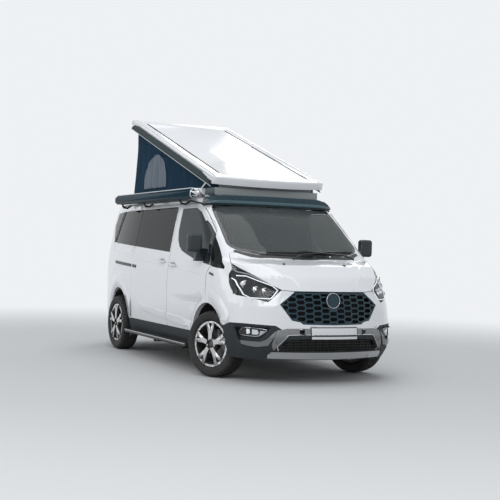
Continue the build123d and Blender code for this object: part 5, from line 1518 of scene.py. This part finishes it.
# Stage: pale floor, soft lamps, white to the camera
bpy.ops.object.select_all(action="DESELECT")
bpy.ops.mesh.primitive_plane_add(size=120, location=(0, 0, -0.001))
floor = bpy.context.object
floor.name = "floor"
floor_finish = bpy.data.materials.new("pale_floor")
floor_finish.use_nodes = True
floor_finish.node_tree.nodes["Principled BSDF"].inputs["Base Color"].default_value = (0.62, 0.62, 0.62, 1)
floor_finish.node_tree.nodes["Principled BSDF"].inputs["Roughness"].default_value = 0.9
BACKGROUND = (0.86, 0.88, 0.90, 1)
tree = floor_finish.node_tree
spot = node_of(tree, "ShaderNodeTexCoord").outputs["Object"]
away = node_of(tree, "ShaderNodeVectorMath", operation="LENGTH")
tree.links.new(spot, away.inputs[0])
far = node_of(tree, "ShaderNodeMapRange", interpolation_type="SMOOTHSTEP")
tree.links.new(away.outputs["Value"], far.inputs["Value"])
far.inputs["From Min"].default_value = 3.5
far.inputs["From Max"].default_value = 11.0
seen = node_of(tree, "ShaderNodeLightPath")
share = node_of(tree, "ShaderNodeMath", operation="MULTIPLY")
seen_way = seen.outputs["Is Camera Ray"]
for ray in ("Is Glossy Ray", "Is Transmission Ray"):
    either = node_of(tree, "ShaderNodeMath", operation="MAXIMUM")
    tree.links.new(seen_way, either.inputs[0])
    tree.links.new(seen.outputs[ray], either.inputs[1])
    seen_way = either.outputs[0]
tree.links.new(seen_way, share.inputs[0])
tree.links.new(far.outputs["Result"], share.inputs[1])
glow = node_of(tree, "ShaderNodeEmission")
glow.inputs["Color"].default_value = BACKGROUND
fade = node_of(tree, "ShaderNodeMixShader")
tree.links.new(share.outputs[0], fade.inputs[0])
tree.links.new(tree.nodes["Principled BSDF"].outputs[0], fade.inputs[1])
tree.links.new(glow.outputs[0], fade.inputs[2])
tree.links.new(fade.outputs[0], tree.nodes["Material Output"].inputs["Surface"])
floor.data.materials.append(floor_finish)

world = bpy.data.worlds.new("studio")
bpy.context.scene.world = world
world.use_nodes = True
tree = world.node_tree
tree.nodes.clear()
soft = node_of(tree, "ShaderNodeBackground")
soft.inputs["Color"].default_value = (0.82, 0.87, 0.92, 1)
soft.inputs["Strength"].default_value = 0.62
plain = node_of(tree, "ShaderNodeBackground")
plain.inputs["Color"].default_value = BACKGROUND
plain.inputs["Strength"].default_value = 1.0
path = node_of(tree, "ShaderNodeLightPath")
choose = node_of(tree, "ShaderNodeMixShader")
out = node_of(tree, "ShaderNodeOutputWorld")
seen_way = path.outputs["Is Camera Ray"]
for ray in ("Is Glossy Ray", "Is Transmission Ray"):
    either = node_of(tree, "ShaderNodeMath", operation="MAXIMUM")
    tree.links.new(seen_way, either.inputs[0])
    tree.links.new(path.outputs[ray], either.inputs[1])
    seen_way = either.outputs[0]
tree.links.new(seen_way, choose.inputs[0])
tree.links.new(soft.outputs[0], choose.inputs[1])
tree.links.new(plain.outputs[0], choose.inputs[2])
tree.links.new(choose.outputs[0], out.inputs["Surface"])


def lamp(name, at, aim, width, height, power):
    data = bpy.data.lights.new(name, "AREA")
    data.shape = "RECTANGLE"
    data.size, data.size_y = width, height
    data.energy = power
    made = bpy.data.objects.new(name, data)
    bpy.context.scene.collection.objects.link(made)
    made.location = at
    made.rotation_euler = (Vector(aim) - Vector(at)).to_track_quat("-Z", "Y").to_euler()
    return made


lamp("key", (7.5, -5.5, 6.5), (0.8, 0, 1.2), 5, 4, 235)
lamp("top", (0, 0, 9), (0, 0, 1), 8, 5, 170)
lamp("back", (-8, 6, 6), (0, 0, 1.2), 5, 4, 150)
lamp("side", (-1, -9, 4), (-0.5, 0, 1.2), 7, 3, 85)
